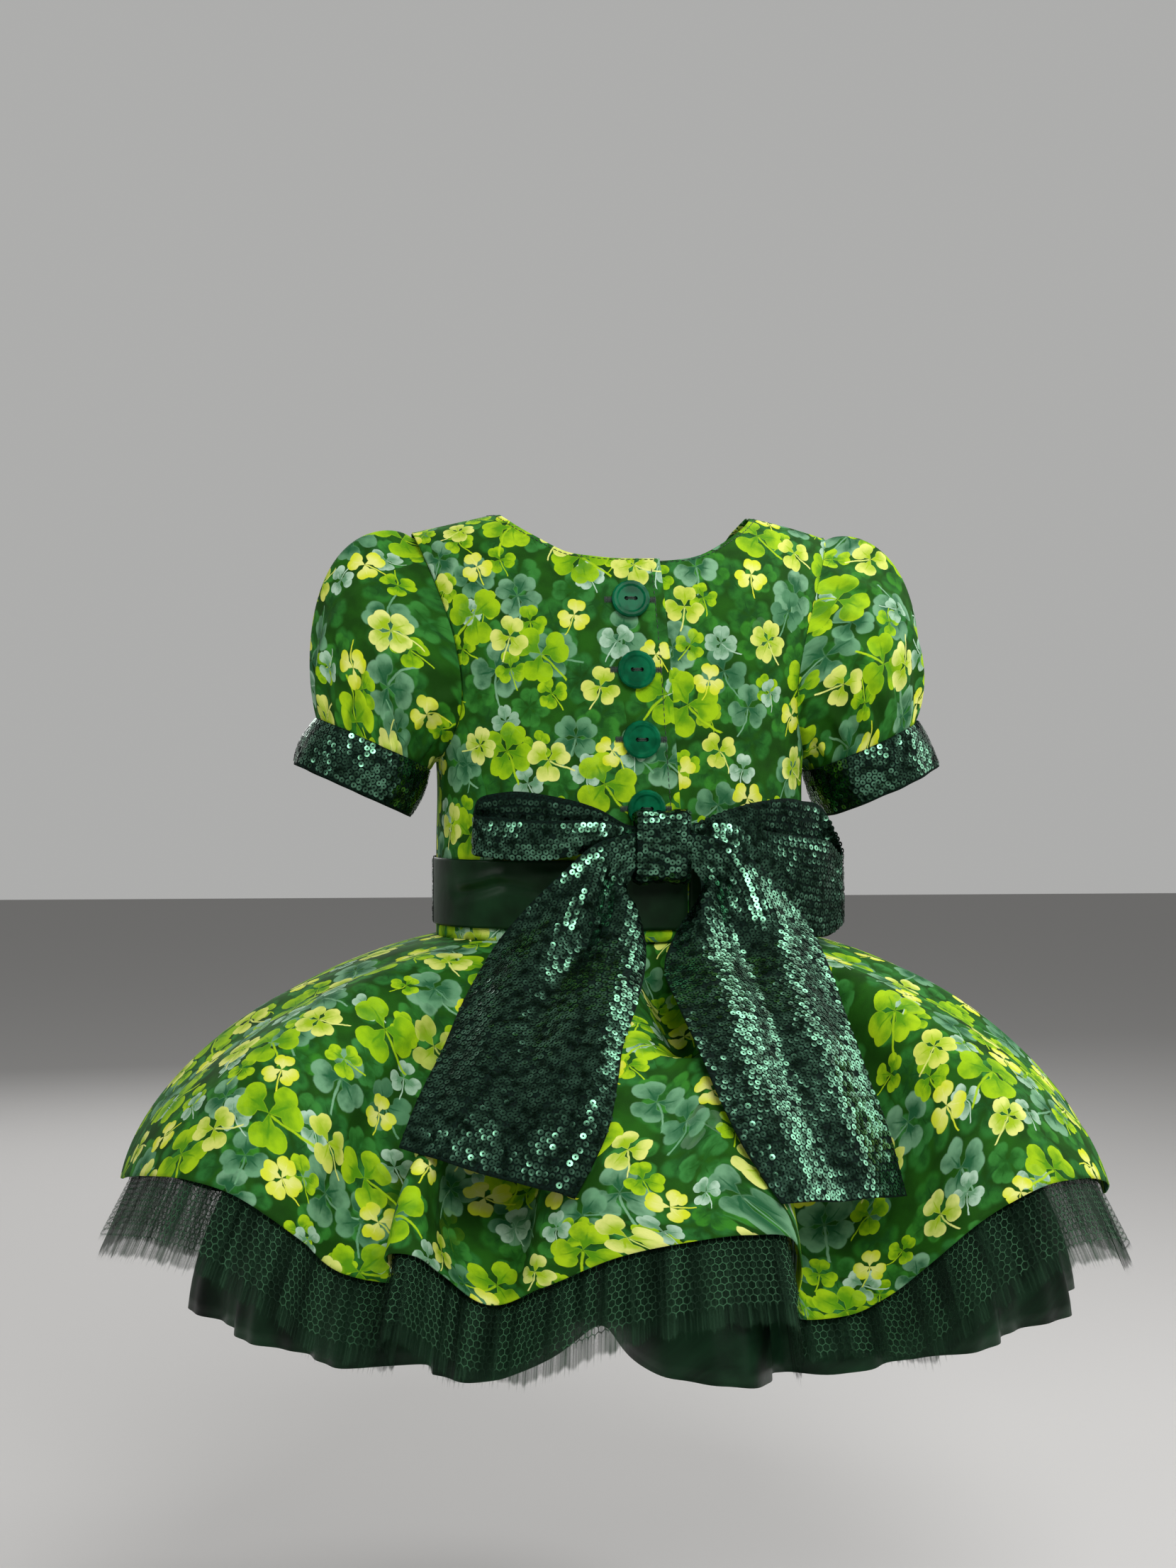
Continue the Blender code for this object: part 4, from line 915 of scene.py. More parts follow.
# %% Sash
SASH_TOP, SASH_BOTTOM = -173.0, -207.0
SASH_END_GAP = 1.5
SASH_LINES = 25
SASH_CREASES = (
    (-90, -192, -66, -184, -1.8, 3),
    (-88, -186, -62, -180, 1.5, 3),
    (-74, -183, -40, -190, -1.2, 2.6),
    (-60, -202, -20, -191, -1, 3.5),
    (-56, -179, -14, -183, 1, 3),
    (34, -184, 70, -180, 1, 3),
    (44, -195, 88, -189, -1.4, 3.5),
)


def sash_strip(angles, face, lift):
    """A strip of the sash, as points and normals."""
    heights = np.linspace(SASH_BOTTOM, SASH_TOP, SASH_LINES)
    angle, height = np.meshgrid(angles, heights, indexing="ij")
    points, normals = torso(angle, height, face), torso_normal(angle, height, face)
    if lift:
        points = lifted(points, normals)
    return points + (LAYER + WALL) * normals, normals


def add_sash():
    """Front strip from side seam to side seam, and two back strips that end at the opening."""
    middle = (SASH_TOP + SASH_BOTTOM) / 2
    edge = float(angle_at(np.array(left_edge(middle)), middle))
    past_edge = float(angle_at(np.array(left_edge(middle) + SASH_END_GAP), middle))
    points, normals = sash_strip(np.linspace(-90, 90, 121), 1, False)
    piece = add_cloth("waistband_front", points, metres_of_cloth(points), [sequin_cloth],
                      "sequin_cloth", ["sash_front"], outward=-1)
    sequinned["waistband_front"] = (points, normals)
    for name, node, angles, lift, outward in (
            ("waistband_left", "sash_back_left", np.linspace(edge, -90, 91), True, -1),
            ("waistband_right", "sash_back_right", np.linspace(past_edge, 90, 71), False, 1)):
        points, normals = sash_strip(angles, -1, lift)
        flat = metres_of_cloth(points)
        points = creased(points, normals, SASH_CREASES)
        piece = add_cloth(name, points, flat, [satin], "satin", [node], outward=outward)


add_sash()

# %% [markdown]
# ## Sleeves and cuffs
#
# A sleeve hangs between two closed lines: the armhole, whose corners are those of the bodice's
# panels, and the cuff, a low barrel that is tilted with the arm.

# %% Armhole and cuff
CUFF_TOP = (128.0, -2.0, -115.0)
ARM_TILT = 24.5
CUFF_ACROSS = 33.0
CUFF_DEEP = 37.0
CUFF_HEIGHT = 26.0
CUFF_BULGE = 1.5
SKIRT_TUCK = 0.8
ALLOWANCE = 1.5


def armhole_corners():
    """Corners of the right armhole from the shoulder round the back, with the bodice's normals."""
    rows = np.arange(SIDE_ROWS, PANEL_ROWS + 1.0)
    points, normals = [], []
    for face, armhole, order in ((-1, ARMHOLE_BACK, -1), (1, ARMHOLE_FRONT, 1)):
        angle, height = outer_edge(rows, 1, armhole)
        points.append(torso(angle, height, face)[::order])
        normals.append(torso_normal(angle, height, face)[::order])
    shoulder = (points[0][0] + points[1][-1]) / 2
    underarm = (points[0][-1] + points[1][0]) / 2
    loop = np.concatenate([[shoulder], points[0][1:-1], [underarm], points[1][1:-1]])
    up = [normals[0][0] + normals[1][-1], normals[0][-1] + normals[1][0]]
    loop_normals = np.concatenate([[up[0]], normals[0][1:-1], [up[1]], normals[1][1:-1]])
    return loop, unit(loop_normals)


def between_corners(corners, per_edge):
    """A closed outline with several points on each of its edges."""
    share = np.arange(per_edge)[None, :, None] / per_edge
    ahead = np.roll(corners, -1, axis=0)
    return (corners[:, None] * (1 - share) + ahead[:, None] * share).reshape(-1, 3)


def softened(points, times):
    """A closed outline with its corners rounded: each point moves to the mean of its neighbours."""
    for _ in range(times):
        points = (np.roll(points, 1, axis=0) + 2 * points + np.roll(points, -1, axis=0)) / 4
    return points


def cuff_ring(angle, down, across=CUFF_ACROSS, deep=CUFF_DEEP):
    """Ellipse of points square to the right arm, at a distance down from the cuff's top."""
    tilt = math.radians(ARM_TILT)
    sideways = np.array([math.cos(tilt), 0.0, math.sin(tilt)])
    downwards = np.array([math.sin(tilt), 0.0, -math.cos(tilt)])
    turn = np.radians(angle)[..., None]
    backwards = np.array([0.0, -1.0, 0.0])
    ring = across * np.cos(turn) * sideways + deep * np.sin(turn) * backwards
    return np.array(CUFF_TOP) + ring + np.asarray(down)[..., None] * downwards


def cuff_surface(columns=128, rows=20):
    """Right cuff: a low barrel square to the arm."""
    angle, down = np.meshgrid(
        np.arange(columns) * 360.0 / columns, np.linspace(0, CUFF_HEIGHT, rows + 1), indexing="ij")
    bulge = CUFF_BULGE * np.sin(np.pi * down / CUFF_HEIGHT)[..., None]
    return cuff_ring(angle, down, CUFF_ACROSS + bulge, CUFF_DEEP + bulge)


print("an armhole has", len(armhole_corners()[0]), "corners")

# %% [markdown]
# A puffed sleeve is a wide piece of cloth gathered into the armhole and into the cuff. Each of its
# lines is a Bezier curve from an armhole point over to the cuff. The gathers are a cosine round the
# arm that dies away from both seams, with slower and faster waves so that no two are alike. A
# narrow seam allowance at both ends lies inside the bodice and inside the cuff, as a sewn one does.

# %% Sleeve form
SLEEVE_PER_EDGE = 15
SLEEVE_FINE_ROWS = 46
ROUNDING = 12
# A sleeve's line leaves the bodice at an angle and for a share of its chord, and comes down on the
# cuff for another share and with a lean to the outside. The second value is for the arm's top.
LEAVES_AT, LEAVES_FOR = (75.0, -40.0), 0.34
LANDS_FOR, LANDS_OUT = 0.69, (0.38, 0.26)
GATHER_DEPTH = 1.5
GATHER_REACH = 0.13
GATHERS_AT_HEAD = (0.6, 0.4)
GATHERS_FULL_FROM = 40.0
GATHER_WAVES = (
    # height, number round the arm, turn at the armhole, further turn down the sleeve
    (1.0, 16, 0.0, 0.0),
    (0.45, 7, 1.3, 2.0),
    (0.3, 29, 0.4, 0.0),
)
SLACK, SLACK_FOLDS, SLACK_TWIST = 0.35, 9, 3.0


def sleeve_surface():
    """Right sleeve: a Bezier curve from each armhole point to the cuff, with gathers at both ends.

    One more row at each end is the seam allowance: it lies inside the bodice and inside the cuff.
    """
    corners, corner_normals = armhole_corners()
    edge = softened(between_corners(corners, SLEEVE_PER_EDGE), ROUNDING)
    bodice_normal = unit(softened(between_corners(corner_normals, SLEEVE_PER_EDGE), ROUNDING))
    round_arm = unit(np.roll(edge, -1, axis=0) - np.roll(edge, 1, axis=0))
    leaving = unit(np.cross(bodice_normal, round_arm))
    angle = np.arange(len(edge)) * 360.0 / len(edge)
    top = np.cos(np.radians(angle))[:, None]

    start = edge + LAYER * leaving
    end = cuff_ring(angle, -LAYER - 0 * angle, CUFF_ACROSS - SKIRT_TUCK, CUFF_DEEP - SKIRT_TUCK)
    chord = np.linalg.norm(end - start, axis=1, keepdims=True)
    lift = np.radians(LEAVES_AT[0] + LEAVES_AT[1] * top)
    first = start + LEAVES_FOR * chord * (np.cos(lift) * leaving + np.sin(lift) * bodice_normal)
    over, under = (cuff_ring(np.array([0.0]), np.array([down])) for down in (0.0, 1.0))
    arm = unit(over - under)
    lean = LANDS_OUT[0] + LANDS_OUT[1] * top
    last = end + LANDS_FOR * chord * unit(arm + lean * unit(end - np.array(CUFF_TOP)))

    t = np.linspace(0, 1, SLEEVE_FINE_ROWS + 1)[None, :, None]
    grid = bezier(start[:, None], first[:, None], last[:, None], end[:, None], t)
    normals = grid_normals(grid, closed=True)
    turn = np.radians(angle)[:, None, None]
    head, foot = t / GATHER_REACH, (1 - t) / GATHER_REACH
    at_head = GATHERS_AT_HEAD[0] + GATHERS_AT_HEAD[1] * top[:, None]
    depth = head * np.exp(1 - head) * at_head + foot * np.exp(1 - foot)
    wave = sum(high * np.cos(turn * number + begins + twist * t)
               for high, number, begins, twist in GATHER_WAVES)
    slack = SLACK * np.sin(np.pi * t) * np.cos(turn * SLACK_FOLDS + SLACK_TWIST * t)
    short = np.clip(chord / GATHERS_FULL_FROM, 0.0, 1.0)[:, None]
    grid = grid + GATHER_DEPTH * short * (depth * wave + slack) * normals
    in_bodice = edge - ALLOWANCE * leaving - 2 * CLOTH_WALL * bodice_normal
    in_cuff = cuff_ring(angle, 2 * ALLOWANCE + 0 * angle,
                        CUFF_ACROSS - 3 * CLOTH_WALL, CUFF_DEEP - 3 * CLOTH_WALL)
    return np.concatenate([in_bodice[:, None], grid, in_cuff[:, None]], axis=1)


print("a sleeve has", SLEEVE_PER_EDGE * len(armhole_corners()[0]), "lines round the arm")

# %% [markdown]
# The cloth of a sleeve is flatter than it looks: its print runs straight across it, and is drawn
# together with it at both gathered ends.

# %% Sleeves and cuffs
SLEEVE_CUT_WIDTH = 280.0
SLEEVE_PRINT_MIDDLE = 100.0
SLEEVE_PRINTS = (("left", -1, 300.0), ("right", 1, 620.0))
CUFF_RIPPLES = (1.6, 19.0, 3)


def add_sleeves():
    """Sleeve and cuff of both arms. The left ones mirror the right ones.

    On the sleeve's pattern a point lies at its share of the way round the arm. The pattern's top
    and bottom edges both curve, each by half of the difference in length between its lines.
    """
    sleeve = sleeve_surface()
    cuff = rippled(cuff_surface(), *CUFF_RIPPLES, closed=True)
    around, down = np.moveaxis(metres_of_cloth(sleeve, closed=True), -1, 0)
    for name, side, shift in SLEEVE_PRINTS:
        flip = np.array([side, 1.0, 1.0])
        flat = np.stack([shift + SLEEVE_CUT_WIDTH * around / around[-1],
                         SLEEVE_PRINT_MIDDLE + down - down[:, -1:] / 2], axis=-1)
        piece = add_cloth("sleeve_cloth_" + name, sleeve * flip, flat,
                          [clover_print], "print_cotton",
                          ["sleeve_" + name], closed=True, outward=side)
        piece = add_cloth("cuff_cloth_" + name, cuff * flip, metres_of_cloth(cuff, closed=True),
                          [sequin_cloth], "sequin_cloth", ["cuff_" + name],
                          closed=True, outward=side)
        sequinned["cuff_" + name] = (cuff * flip, grid_normals(cuff, closed=True) * flip)


add_sleeves()

# %% [markdown]
# ## The skirt
#
# A full circle skirt is cut with its waist and hem as circles, 88 mm and 296 mm in radius. Worn, it
# keeps the length of every line from waist to hem, and the hem falls in flutes. The table gives the
# hem's distance from the axis round the dress. The hem's height then follows: it is where the
# curved line has the cut's length. A cloth simulation would find such flutes too, but these are
# the ones of the photograph.

# %% Skirt form
WAIST_RADIUS = 88.0
SKIRT_LENGTH = 208.0
SKIRT_DROP_FROM = WAIST_HEIGHT - SEAM
SKIRT_BEND = (0.43, 0.10, 0.105, 0.50)
SKIRT_FINE_ROWS = 72
COLUMNS_PER_FOLD_ROW = 9
WAIST_STEPS = 181
HEM_DROPS = (20.0, 230.0)
HALVINGS, LINE_STEPS = 24, 25
FIRST_ANGLE = -90.0
HEM_BACK = (
    # angle from the middle of the back, distance of the hem from the axis
    (-90, 252.5), (-80, 256), (-70, 262), (-62, 265), (-55, 265), (-48, 259), (-42, 240),
    (-38, 222), (-33, 233), (-30.5, 234.5), (-28, 226), (-24, 207), (-17, 215), (-8, 228.5),
    (0, 234), (6, 236), (11, 234), (13.8, 221), (16, 204), (20, 191), (24.5, 189), (28, 203),
    (30.2, 223), (33, 242), (39, 256), (47, 260), (57, 257), (68, 248), (79, 247), (90, 243),
)
HEM_FRONT = (
    (90, 243), (99, 232), (108, 245), (118, 261), (127, 259), (136, 238), (144, 214),
    (153, 230), (162, 251), (171, 254), (180, 238), (188, 212), (196, 224), (206, 251),
    (216, 260), (227, 249), (236, 226), (247, 230), (258, 246.5), (270, 252.5),
)


def plan(angle, radius):
    """Plan point at an angle from the middle of the back and a distance from the axis."""
    turn = np.radians(angle)
    return np.stack([radius * np.sin(turn), -radius * np.cos(turn)], axis=-1)


def waist_point(angle, inset=SKIRT_TUCK):
    """Plan point of the waist seam, under the bodice's edge."""
    half_width, back, front = (size - inset for size in LEVELS[0][1:])
    turn = np.radians(angle)
    sine, cosine = np.abs(np.sin(turn)), np.abs(np.cos(turn))
    depth = np.where(np.cos(turn) > 0, back, front)
    shares = (sine / half_width) ** RING_POWER + (cosine / depth) ** RING_POWER
    return plan(angle, shares ** (-1 / RING_POWER))


def meridian(waist, hem, top, bottom, bend, t):
    """Line of cloth from the waist to the hem: a Bezier curve that starts nearly level.

    bend gives how far its two inner points lie along the reach and the drop.
    """
    reach = hem - waist
    drop = (top - bottom)[..., None]
    p0 = np.concatenate([waist, bottom[..., None] + drop], axis=-1)
    p3 = np.concatenate([hem, bottom[..., None]], axis=-1)
    p1 = p0 + np.concatenate([bend[0] * reach, -bend[1] * drop], axis=-1)
    p2 = p3 + np.concatenate([-bend[2] * reach, bend[3] * drop], axis=-1)
    return bezier(p0[:, None], p1[:, None], p2[:, None], p3[:, None], t[None, :, None])


def hem_height(waist, hem):
    """Height at which the cloth between waist and hem has the cut length, by halving."""
    high, low = (np.full(len(hem), SKIRT_DROP_FROM - drop) for drop in HEM_DROPS)
    steps = np.linspace(0, 1, LINE_STEPS)
    for _ in range(HALVINGS):
        middle = (high + low) / 2
        line = meridian(waist, hem, SKIRT_DROP_FROM + 0 * middle, middle, SKIRT_BEND, steps)
        length = np.linalg.norm(np.diff(line, axis=1), axis=2).sum(axis=1)
        high = np.where(length < SKIRT_LENGTH, middle, high)
        low = np.where(length < SKIRT_LENGTH, low, middle)
    return (high + low) / 2


def half_hem(rows):
    """Hem and waist of one half of the skirt, in plan."""
    table = np.array(rows)
    corners = plan(table[:, 0], table[:, 1])
    along = run_length(corners)
    rows_at = np.arange((len(table) - 1) * COLUMNS_PER_FOLD_ROW + 1) / COLUMNS_PER_FOLD_ROW
    place = np.interp(rows_at, np.arange(len(table)), along)
    hem = smooth(place, along, corners)
    fine_angles = np.linspace(table[0, 0], table[-1, 0], WAIST_STEPS)
    waist_along = run_length(waist_point(fine_angles))
    angles = np.interp(place / along[-1], waist_along / waist_along[-1], fine_angles)
    return hem, waist_point(angles)


def skirt_ring():
    """The whole skirt as one ring of columns: hem, waist, height of the hem, number at the back."""
    back, front = half_hem(HEM_BACK), half_hem(HEM_FRONT)
    hem, waist = (np.concatenate([a[:-1], b[:-1]]) for a, b in zip(back, front))
    return hem, waist, hem_height(waist, hem), len(back[0]) - 1


print("the skirt is", len(skirt_ring()[0]), "columns round and its cloth", SKIRT_LENGTH, "mm long")

# %% [markdown]
# The print lies on the flat half circle that the skirt was cut from, so its clovers turn with the
# cloth as it goes round the waist, as they do on a real circle skirt.

# %% Skirt panels
HALF_SEAM = 0.02
SKIRT_FOLDS = (
    # angle and share of the way down at the start and at the end, height of the ridge, width in mm
    (-37, 0.35, -39, 1.12, -19, 13),
    (-31, 0.74, -32, 1.20, 8, 8),
    (-24, 0.35, -24.5, 1.00, -24, 13),
    (-62, 0.05, -74, 0.80, -3, 14),
    (-52, 0.10, -56, 0.85, 3.5, 16),
    (-78, 0.30, -84, 1.05, 2.5, 16),
    (-8, 0.15, -10, 0.95, 3, 14),
    (2, 0.20, 4, 0.95, -2.5, 14),
    (4, 0, 4.5, 0.52, -26, 17),
    (23, 0.25, 22, 1.12, -14, 16),
    (30.5, 0.15, 30, 1.00, -9, 11),
    (37, 0.10, 40, 0.95, 5, 14),
    (52, 0.08, 58, 0.85, -3.5, 15),
    (64, 0.15, 72, 1.00, 3, 15),
    (99, 0.25, 99, 1.12, -7, 16),
    (112, 0.20, 116, 0.95, 3, 16),
    (144, 0.25, 144, 1.12, -12, 16),
    (158, 0.20, 164, 0.95, 3.5, 16),
    (188, 0.25, 188, 1.12, -13, 16),
    (205, 0.15, 212, 0.90, 3, 16),
    (240, 0.30, 240, 1.12, -9, 16),
    (254, 0.20, 256, 0.95, 2.5, 16),
)
FOLD_PLANE = (3.0, 200.0)
SKIRT_PRINT = 700.0


def halves(ring, back_count):
    """Back and front halves of a closed ring of columns, parted by a seam's gap at both sides.

    Each comes with its name and the sign of the way it faces.
    """
    ring = np.concatenate([ring, ring[:1]])
    gap = np.array([0.0, HALF_SEAM, 0.0])
    return ("back", -1, ring[:back_count + 1] - gap), ("front", 1, ring[back_count:] + gap)


def skirt_folds(angle, share):
    """Height of the listed folds at an angle round the skirt and a share of the way down.

    They are creases on a plane that is about as large as the cloth: 3 mm a degree and 200 mm down.
    """
    angle = (np.asarray(angle) - FIRST_ANGLE) % 360.0 + FIRST_ANGLE
    plane = np.stack(np.broadcast_arrays(
        angle[:, None] * FOLD_PLANE[0], share[None, :] * FOLD_PLANE[1]), axis=-1)
    return creases(plane, np.array(SKIRT_FOLDS) * (FOLD_PLANE * 2 + (1.0, 1.0)))


def hem_angle(hem):
    """Angle of the hem's points from the middle of the back."""
    return np.degrees(np.arctan2(hem[:, 0], -hem[:, 1]))


def add_skirt():
    """Back and front half circles of the skirt.

    A point's place on the flat half circle is its share of the cloth's length round the dress, at
    its own distance down, so the print isn't stretched where the cloth dips into a fold. The first
    row is the seam allowance, which stands up inside the bodice.
    """
    hem, waist, bottom, back_count = skirt_ring()
    t = np.linspace(0, 1, SKIRT_FINE_ROWS + 1)
    grid = meridian(waist, hem, SKIRT_DROP_FROM + 0 * bottom, bottom, SKIRT_BEND, t)
    folds = skirt_folds(hem_angle(hem), t)[..., None]
    grid = grid + folds * grid_normals(grid, closed=True, outward=-1)
    inside = waist_point(hem_angle(waist), 3 * CLOTH_WALL)
    height = np.full((len(inside), 1), SKIRT_DROP_FROM + ALLOWANCE)
    inside = np.concatenate([inside, height], axis=-1)
    grid = np.concatenate([inside[:, None], grid], axis=1)
    for name, face, half in halves(grid, back_count):
        around, down = np.moveaxis(metres_of_cloth(half), -1, 0)
        radius, turn = WAIST_RADIUS + down, np.pi * around / around[-1]
        flat = np.stack([face * SKIRT_PRINT - radius * np.cos(turn),
                         -radius * np.sin(turn)], axis=-1)
        piece = add_cloth("skirt_half_" + name, half, flat, [clover_print], "print_cotton",
                          ["skirt_" + name], outward=-1)
        "front_panel" if face > 0 else "back_panel_left"
        print("the skirt's", name, "hangs to", round(float(half[..., 2].min()), 1), "mm")


add_skirt()

# %% [markdown]
# ## The petticoat
#
# Under the skirt lie two layers of net that hold it out, one coarse and one fine, and both reach
# past its hem with a frayed edge. Under them is dark satin whose hem falls in deep folds. The nets
# follow the skirt's own lines, and the satin has a lower hem of its own.

# %% Net layers
NET_DROP = 2.5
NET_DROP_BY = 0.5
NET_LEAST_EXTRA = 10.0
NET_ROWS, NET_END_ROWS = 37, 10
NET_END = np.array([0.97, 1.0])
NET_LAYERS = (
    # name, finish, how far inward, lowest height, longest stretch past the hem, kick outwards
    ("hexagonal_net_", hex_net, 0.0, -398.0, 33.0, 0.2),
    ("fine_tulle_", tulle, 1.1, -401.0, 42.0, 0.12),
)
NET_WALL = 1.0
NET_CLOTH = 0.15


def net_surface(inward, lowest, longest, kick):
    """Net layer: the skirt's own lines lowered under it, then carried on past its hem.

    It goes on as far as the lowest height allows, within the longest stretch past the hem, and
    the kick turns that stretch outwards.
    """
    hem, waist, bottom, back_count = skirt_ring()
    top = SKIRT_DROP_FROM + 0 * bottom
    t = np.linspace(0, 1, NET_ROWS)
    grid = meridian(waist, hem, top, bottom, SKIRT_BEND, t)
    normals = grid_normals(grid, closed=True, outward=-1)
    under = WALL + LAYER + NET_DROP * ease(t / NET_DROP_BY) + inward
    folds = skirt_folds(hem_angle(hem), t)[..., None]
    net = grid + (folds - under[None, :, None]) * normals
    ends = meridian(waist, hem, top, bottom, SKIRT_BEND, NET_END)
    onward = unit(ends[:, 1] - ends[:, 0])
    outwards = np.concatenate([unit(hem), np.zeros((len(hem), 1))], axis=1)
    onward = unit(onward + kick * outwards)
    extra = np.clip(bottom - lowest, NET_LEAST_EXTRA, longest)[:, None, None]
    steps = np.linspace(0, 1, NET_END_ROWS)[1:][None, :, None]
    past = net[:, -1:] + steps * extra * onward[:, None]
    return np.concatenate([net, past], axis=1), back_count


def add_net():
    """The hexagonal net, and a finer tulle close under it, each in two halves."""
    for name, finish, *layer in NET_LAYERS:
        for side, _, half in halves(*net_surface(*layer)):
            lengths = metres_of_cloth(half)
            flat = np.stack([lengths[:, -1:, 0] + 0 * lengths[..., 0],
                             lengths[:, -1:, 1] - lengths[..., 1]], axis=-1)
            piece = add_cloth(name + side, half, flat, [finish], "net", ["petticoat_net_" + side],
                              outward=-1, wall=NET_CLOTH)
            "skirt_half_" + side


add_net()

# %% [markdown]
# The satin layer has its own hem, which stays inside the skirt's. Its folds are cut deep, so that
# dark hollows show under the net.

# %% Satin layer
RUFFLE_HEM = (
    # angle from the middle of the back, distance from the axis, height
    (-90, 222, -396), (-76, 224, -397), (-62, 216, -399), (-48, 214, -400), (-36, 205, -401),
    (-27, 197, -402), (-20, 196, -399), (-12, 199, -392), (-4, 202, -399), (4, 204, -401),
    (11, 200, -403), (18, 182, -407), (25, 175, -409), (32, 194, -405), (42, 214, -400),
    (56, 228, -397), (74, 241, -396), (92, 236, -397), (112, 228, -398), (130, 222, -400),
    (150, 208, -402), (168, 220, -400), (186, 204, -403), (204, 218, -400), (222, 222, -399),
    (240, 210, -400), (256, 216, -398),
)
RUFFLE_CLEARANCE = 10.0
RUFFLE_FOLDS = 20
RUFFLE_FOLD_DEPTH = 11.0
RUFFLE_HOLLOW = (-11.5, 7.0, 80.0)
RUFFLE_WAVES = ((2.0, 33, 0.7), (1.5, 13, 0.0))
FOLD_GROWTH = 1.6
RUFFLE_BEND = (0.36, 0.18, 0.06, 0.42)
RUFFLE_COLUMNS = 600
RUFFLE_ROWS = 36


def ruffle_surface():
    """Satin layer: lines from the waist to a hem that is laid in folds.

    Folds go inwards as a squared cosine round the dress, one deep hollow goes in at the back as
    exp(-(angle / width) ** 2), and two more waves make the folds uneven. All grow towards the hem.
    """
    angle = FIRST_ANGLE + np.arange(RUFFLE_COLUMNS) * 360.0 / RUFFLE_COLUMNS
    table = np.array(RUFFLE_HEM)
    table = np.concatenate([table, table[:1] + np.array([360.0, 0.0, 0.0])])
    radius, height = smooth(angle, table[:, 0], table[:, 1:]).T
    skirt_table = np.array(HEM_BACK + HEM_FRONT[1:])
    skirt = smooth(angle, skirt_table[:, 0], skirt_table[:, 1])
    radius = np.minimum(radius, skirt - RUFFLE_CLEARANCE)
    turn = np.radians(angle - FIRST_ANGLE)
    fold = RUFFLE_FOLD_DEPTH * np.cos(turn * RUFFLE_FOLDS / 2) ** 2
    for high, number, begins in RUFFLE_WAVES:
        fold = fold + high * np.cos(turn * number + begins) ** 2
    middle, width, depth = RUFFLE_HOLLOW
    fold = fold + depth * np.exp(-((angle - middle) / width) ** 2)
    top = SKIRT_DROP_FROM - WALL - LAYER - NET_WALL - LAYER + 0 * height
    t = np.linspace(0, 1, RUFFLE_ROWS)
    grid = meridian(waist_point(angle), plan(angle, radius), top, height, RUFFLE_BEND, t)
    inwards = fold[:, None] * t[None, :] ** FOLD_GROWTH - np.minimum(skirt_folds(angle, t), 0.0)
    inwards = inwards[..., None] * plan(angle, -1.0)[:, None]
    return grid + np.concatenate([inwards, 0 * inwards[..., :1]], axis=-1)


def add_ruffle():
    """The satin layer of the petticoat, in two halves."""
    for side, _, half in halves(ruffle_surface(), RUFFLE_COLUMNS // 2):
        piece = add_cloth("satin_petticoat_" + side, half, metres_of_cloth(half), [petticoat_satin],
                          "satin", ["petticoat_ruffle_" + side], outward=-1)
        "skirt_half_" + side


add_ruffle()

# %% [markdown]
# ## The bow
#
# The bow is sewn from sequin cloth lined with satin: two flattened loops, a knot round their
# middle, and two long tails whose pleats start in the knot and open out on the skirt. Loops and
# tails are drawn by tables of their edges, from the knot outwards.

# %% Bow tables
KNOT_MIDDLE = (9.0, -88.3, -166.0)
KNOT_SIZE = (26.0, 17.0, 36.0)
KNOT_POWER = 5.0
KNOT_PINCH = 0.06
KNOT_LEAN = 0.0935
KNOT_GATHERS, KNOT_GATHER_NUMBER, KNOT_GATHER_TURN = 0.022, 3.3, (0.7, 0.5)
KNOT_COLUMNS = 120
KNOT_STATIONS = (-0.42, -0.46, -0.49, *np.linspace(-0.5, 0.5, 25), 0.49, 0.46, 0.42)
KNOT_TURNED_IN = (0.45, 0.65, 0.85, 0.95, *[1.0] * 23, 0.95, 0.85, 0.65, 0.45)
LOOP_PUFF, LOOP_PUFF_FROM, LOOP_FRONT_FROM, LOOP_FRONT_OVER = 3.5, 30.0, 0.5, 0.2
LOOP_COLUMNS, LOOP_ROWS = 150, 25
TAIL_COLUMNS, TAIL_ROWS = 61, 121
PLEATS_FROM, PLEATS_OVER = 0.08, 0.15
LOOP_LEFT = (
    # across, depth to the back, lower edge, upper edge
    (3, 83.2, -169, -156),
    (-6, 83.2, -168, -155.5),
    (-20, 81.5, -167, -148),
    (-45, 75.5, -171, -141),
    (-66, 66, -172, -139.5),
    (-79, 58, -171, -144),
    (-81, 64, -170, -149),
    (-68, 77, -172, -151.5),
    (-45, 88.5, -172, -153),
    (-20, 91, -168, -153.5),
    (-6, 88.5, -169, -156),
    (3, 87.5, -169, -156.5),
)
LOOP_RIGHT = (
    (15, 83.2, -170, -156),
    (24, 83.2, -171, -155.5),
    (38, 81.5, -177, -150),
    (60, 74.5, -189, -144),
    (82, 62.5, -205, -143.5),
    (101, 50.5, -208, -154),
    (106, 56, -205, -169),
    (96, 69, -211, -164),
    (78, 80.5, -208, -161),
    (58, 89.5, -191, -158),
    (38, 93, -178, -155),
    (24, 89.5, -172, -156),
    (15, 87.5, -170, -156.5),
)
TAIL_LEFT = (
    # outer edge: across, depth, height; inner edge: across, depth, height
    (-0.5, 94.2, -158, -0.5, 93.6, -170),
    (-24, 98, -164, -9, 95, -187),
    (-42, 100, -179, -3, 105, -206),
    (-61, 98, -198, -5, 126, -222),
    (-77, 105, -217, -12.6, 154, -237),
    (-90, 123, -237, -21.5, 174, -253),
    (-103, 149, -259, -26, 189, -268),
    (-115.5, 170, -280, -33, 203, -289),
    (-122.5, 180.5, -295.5, -47.8, 211, -315),
)
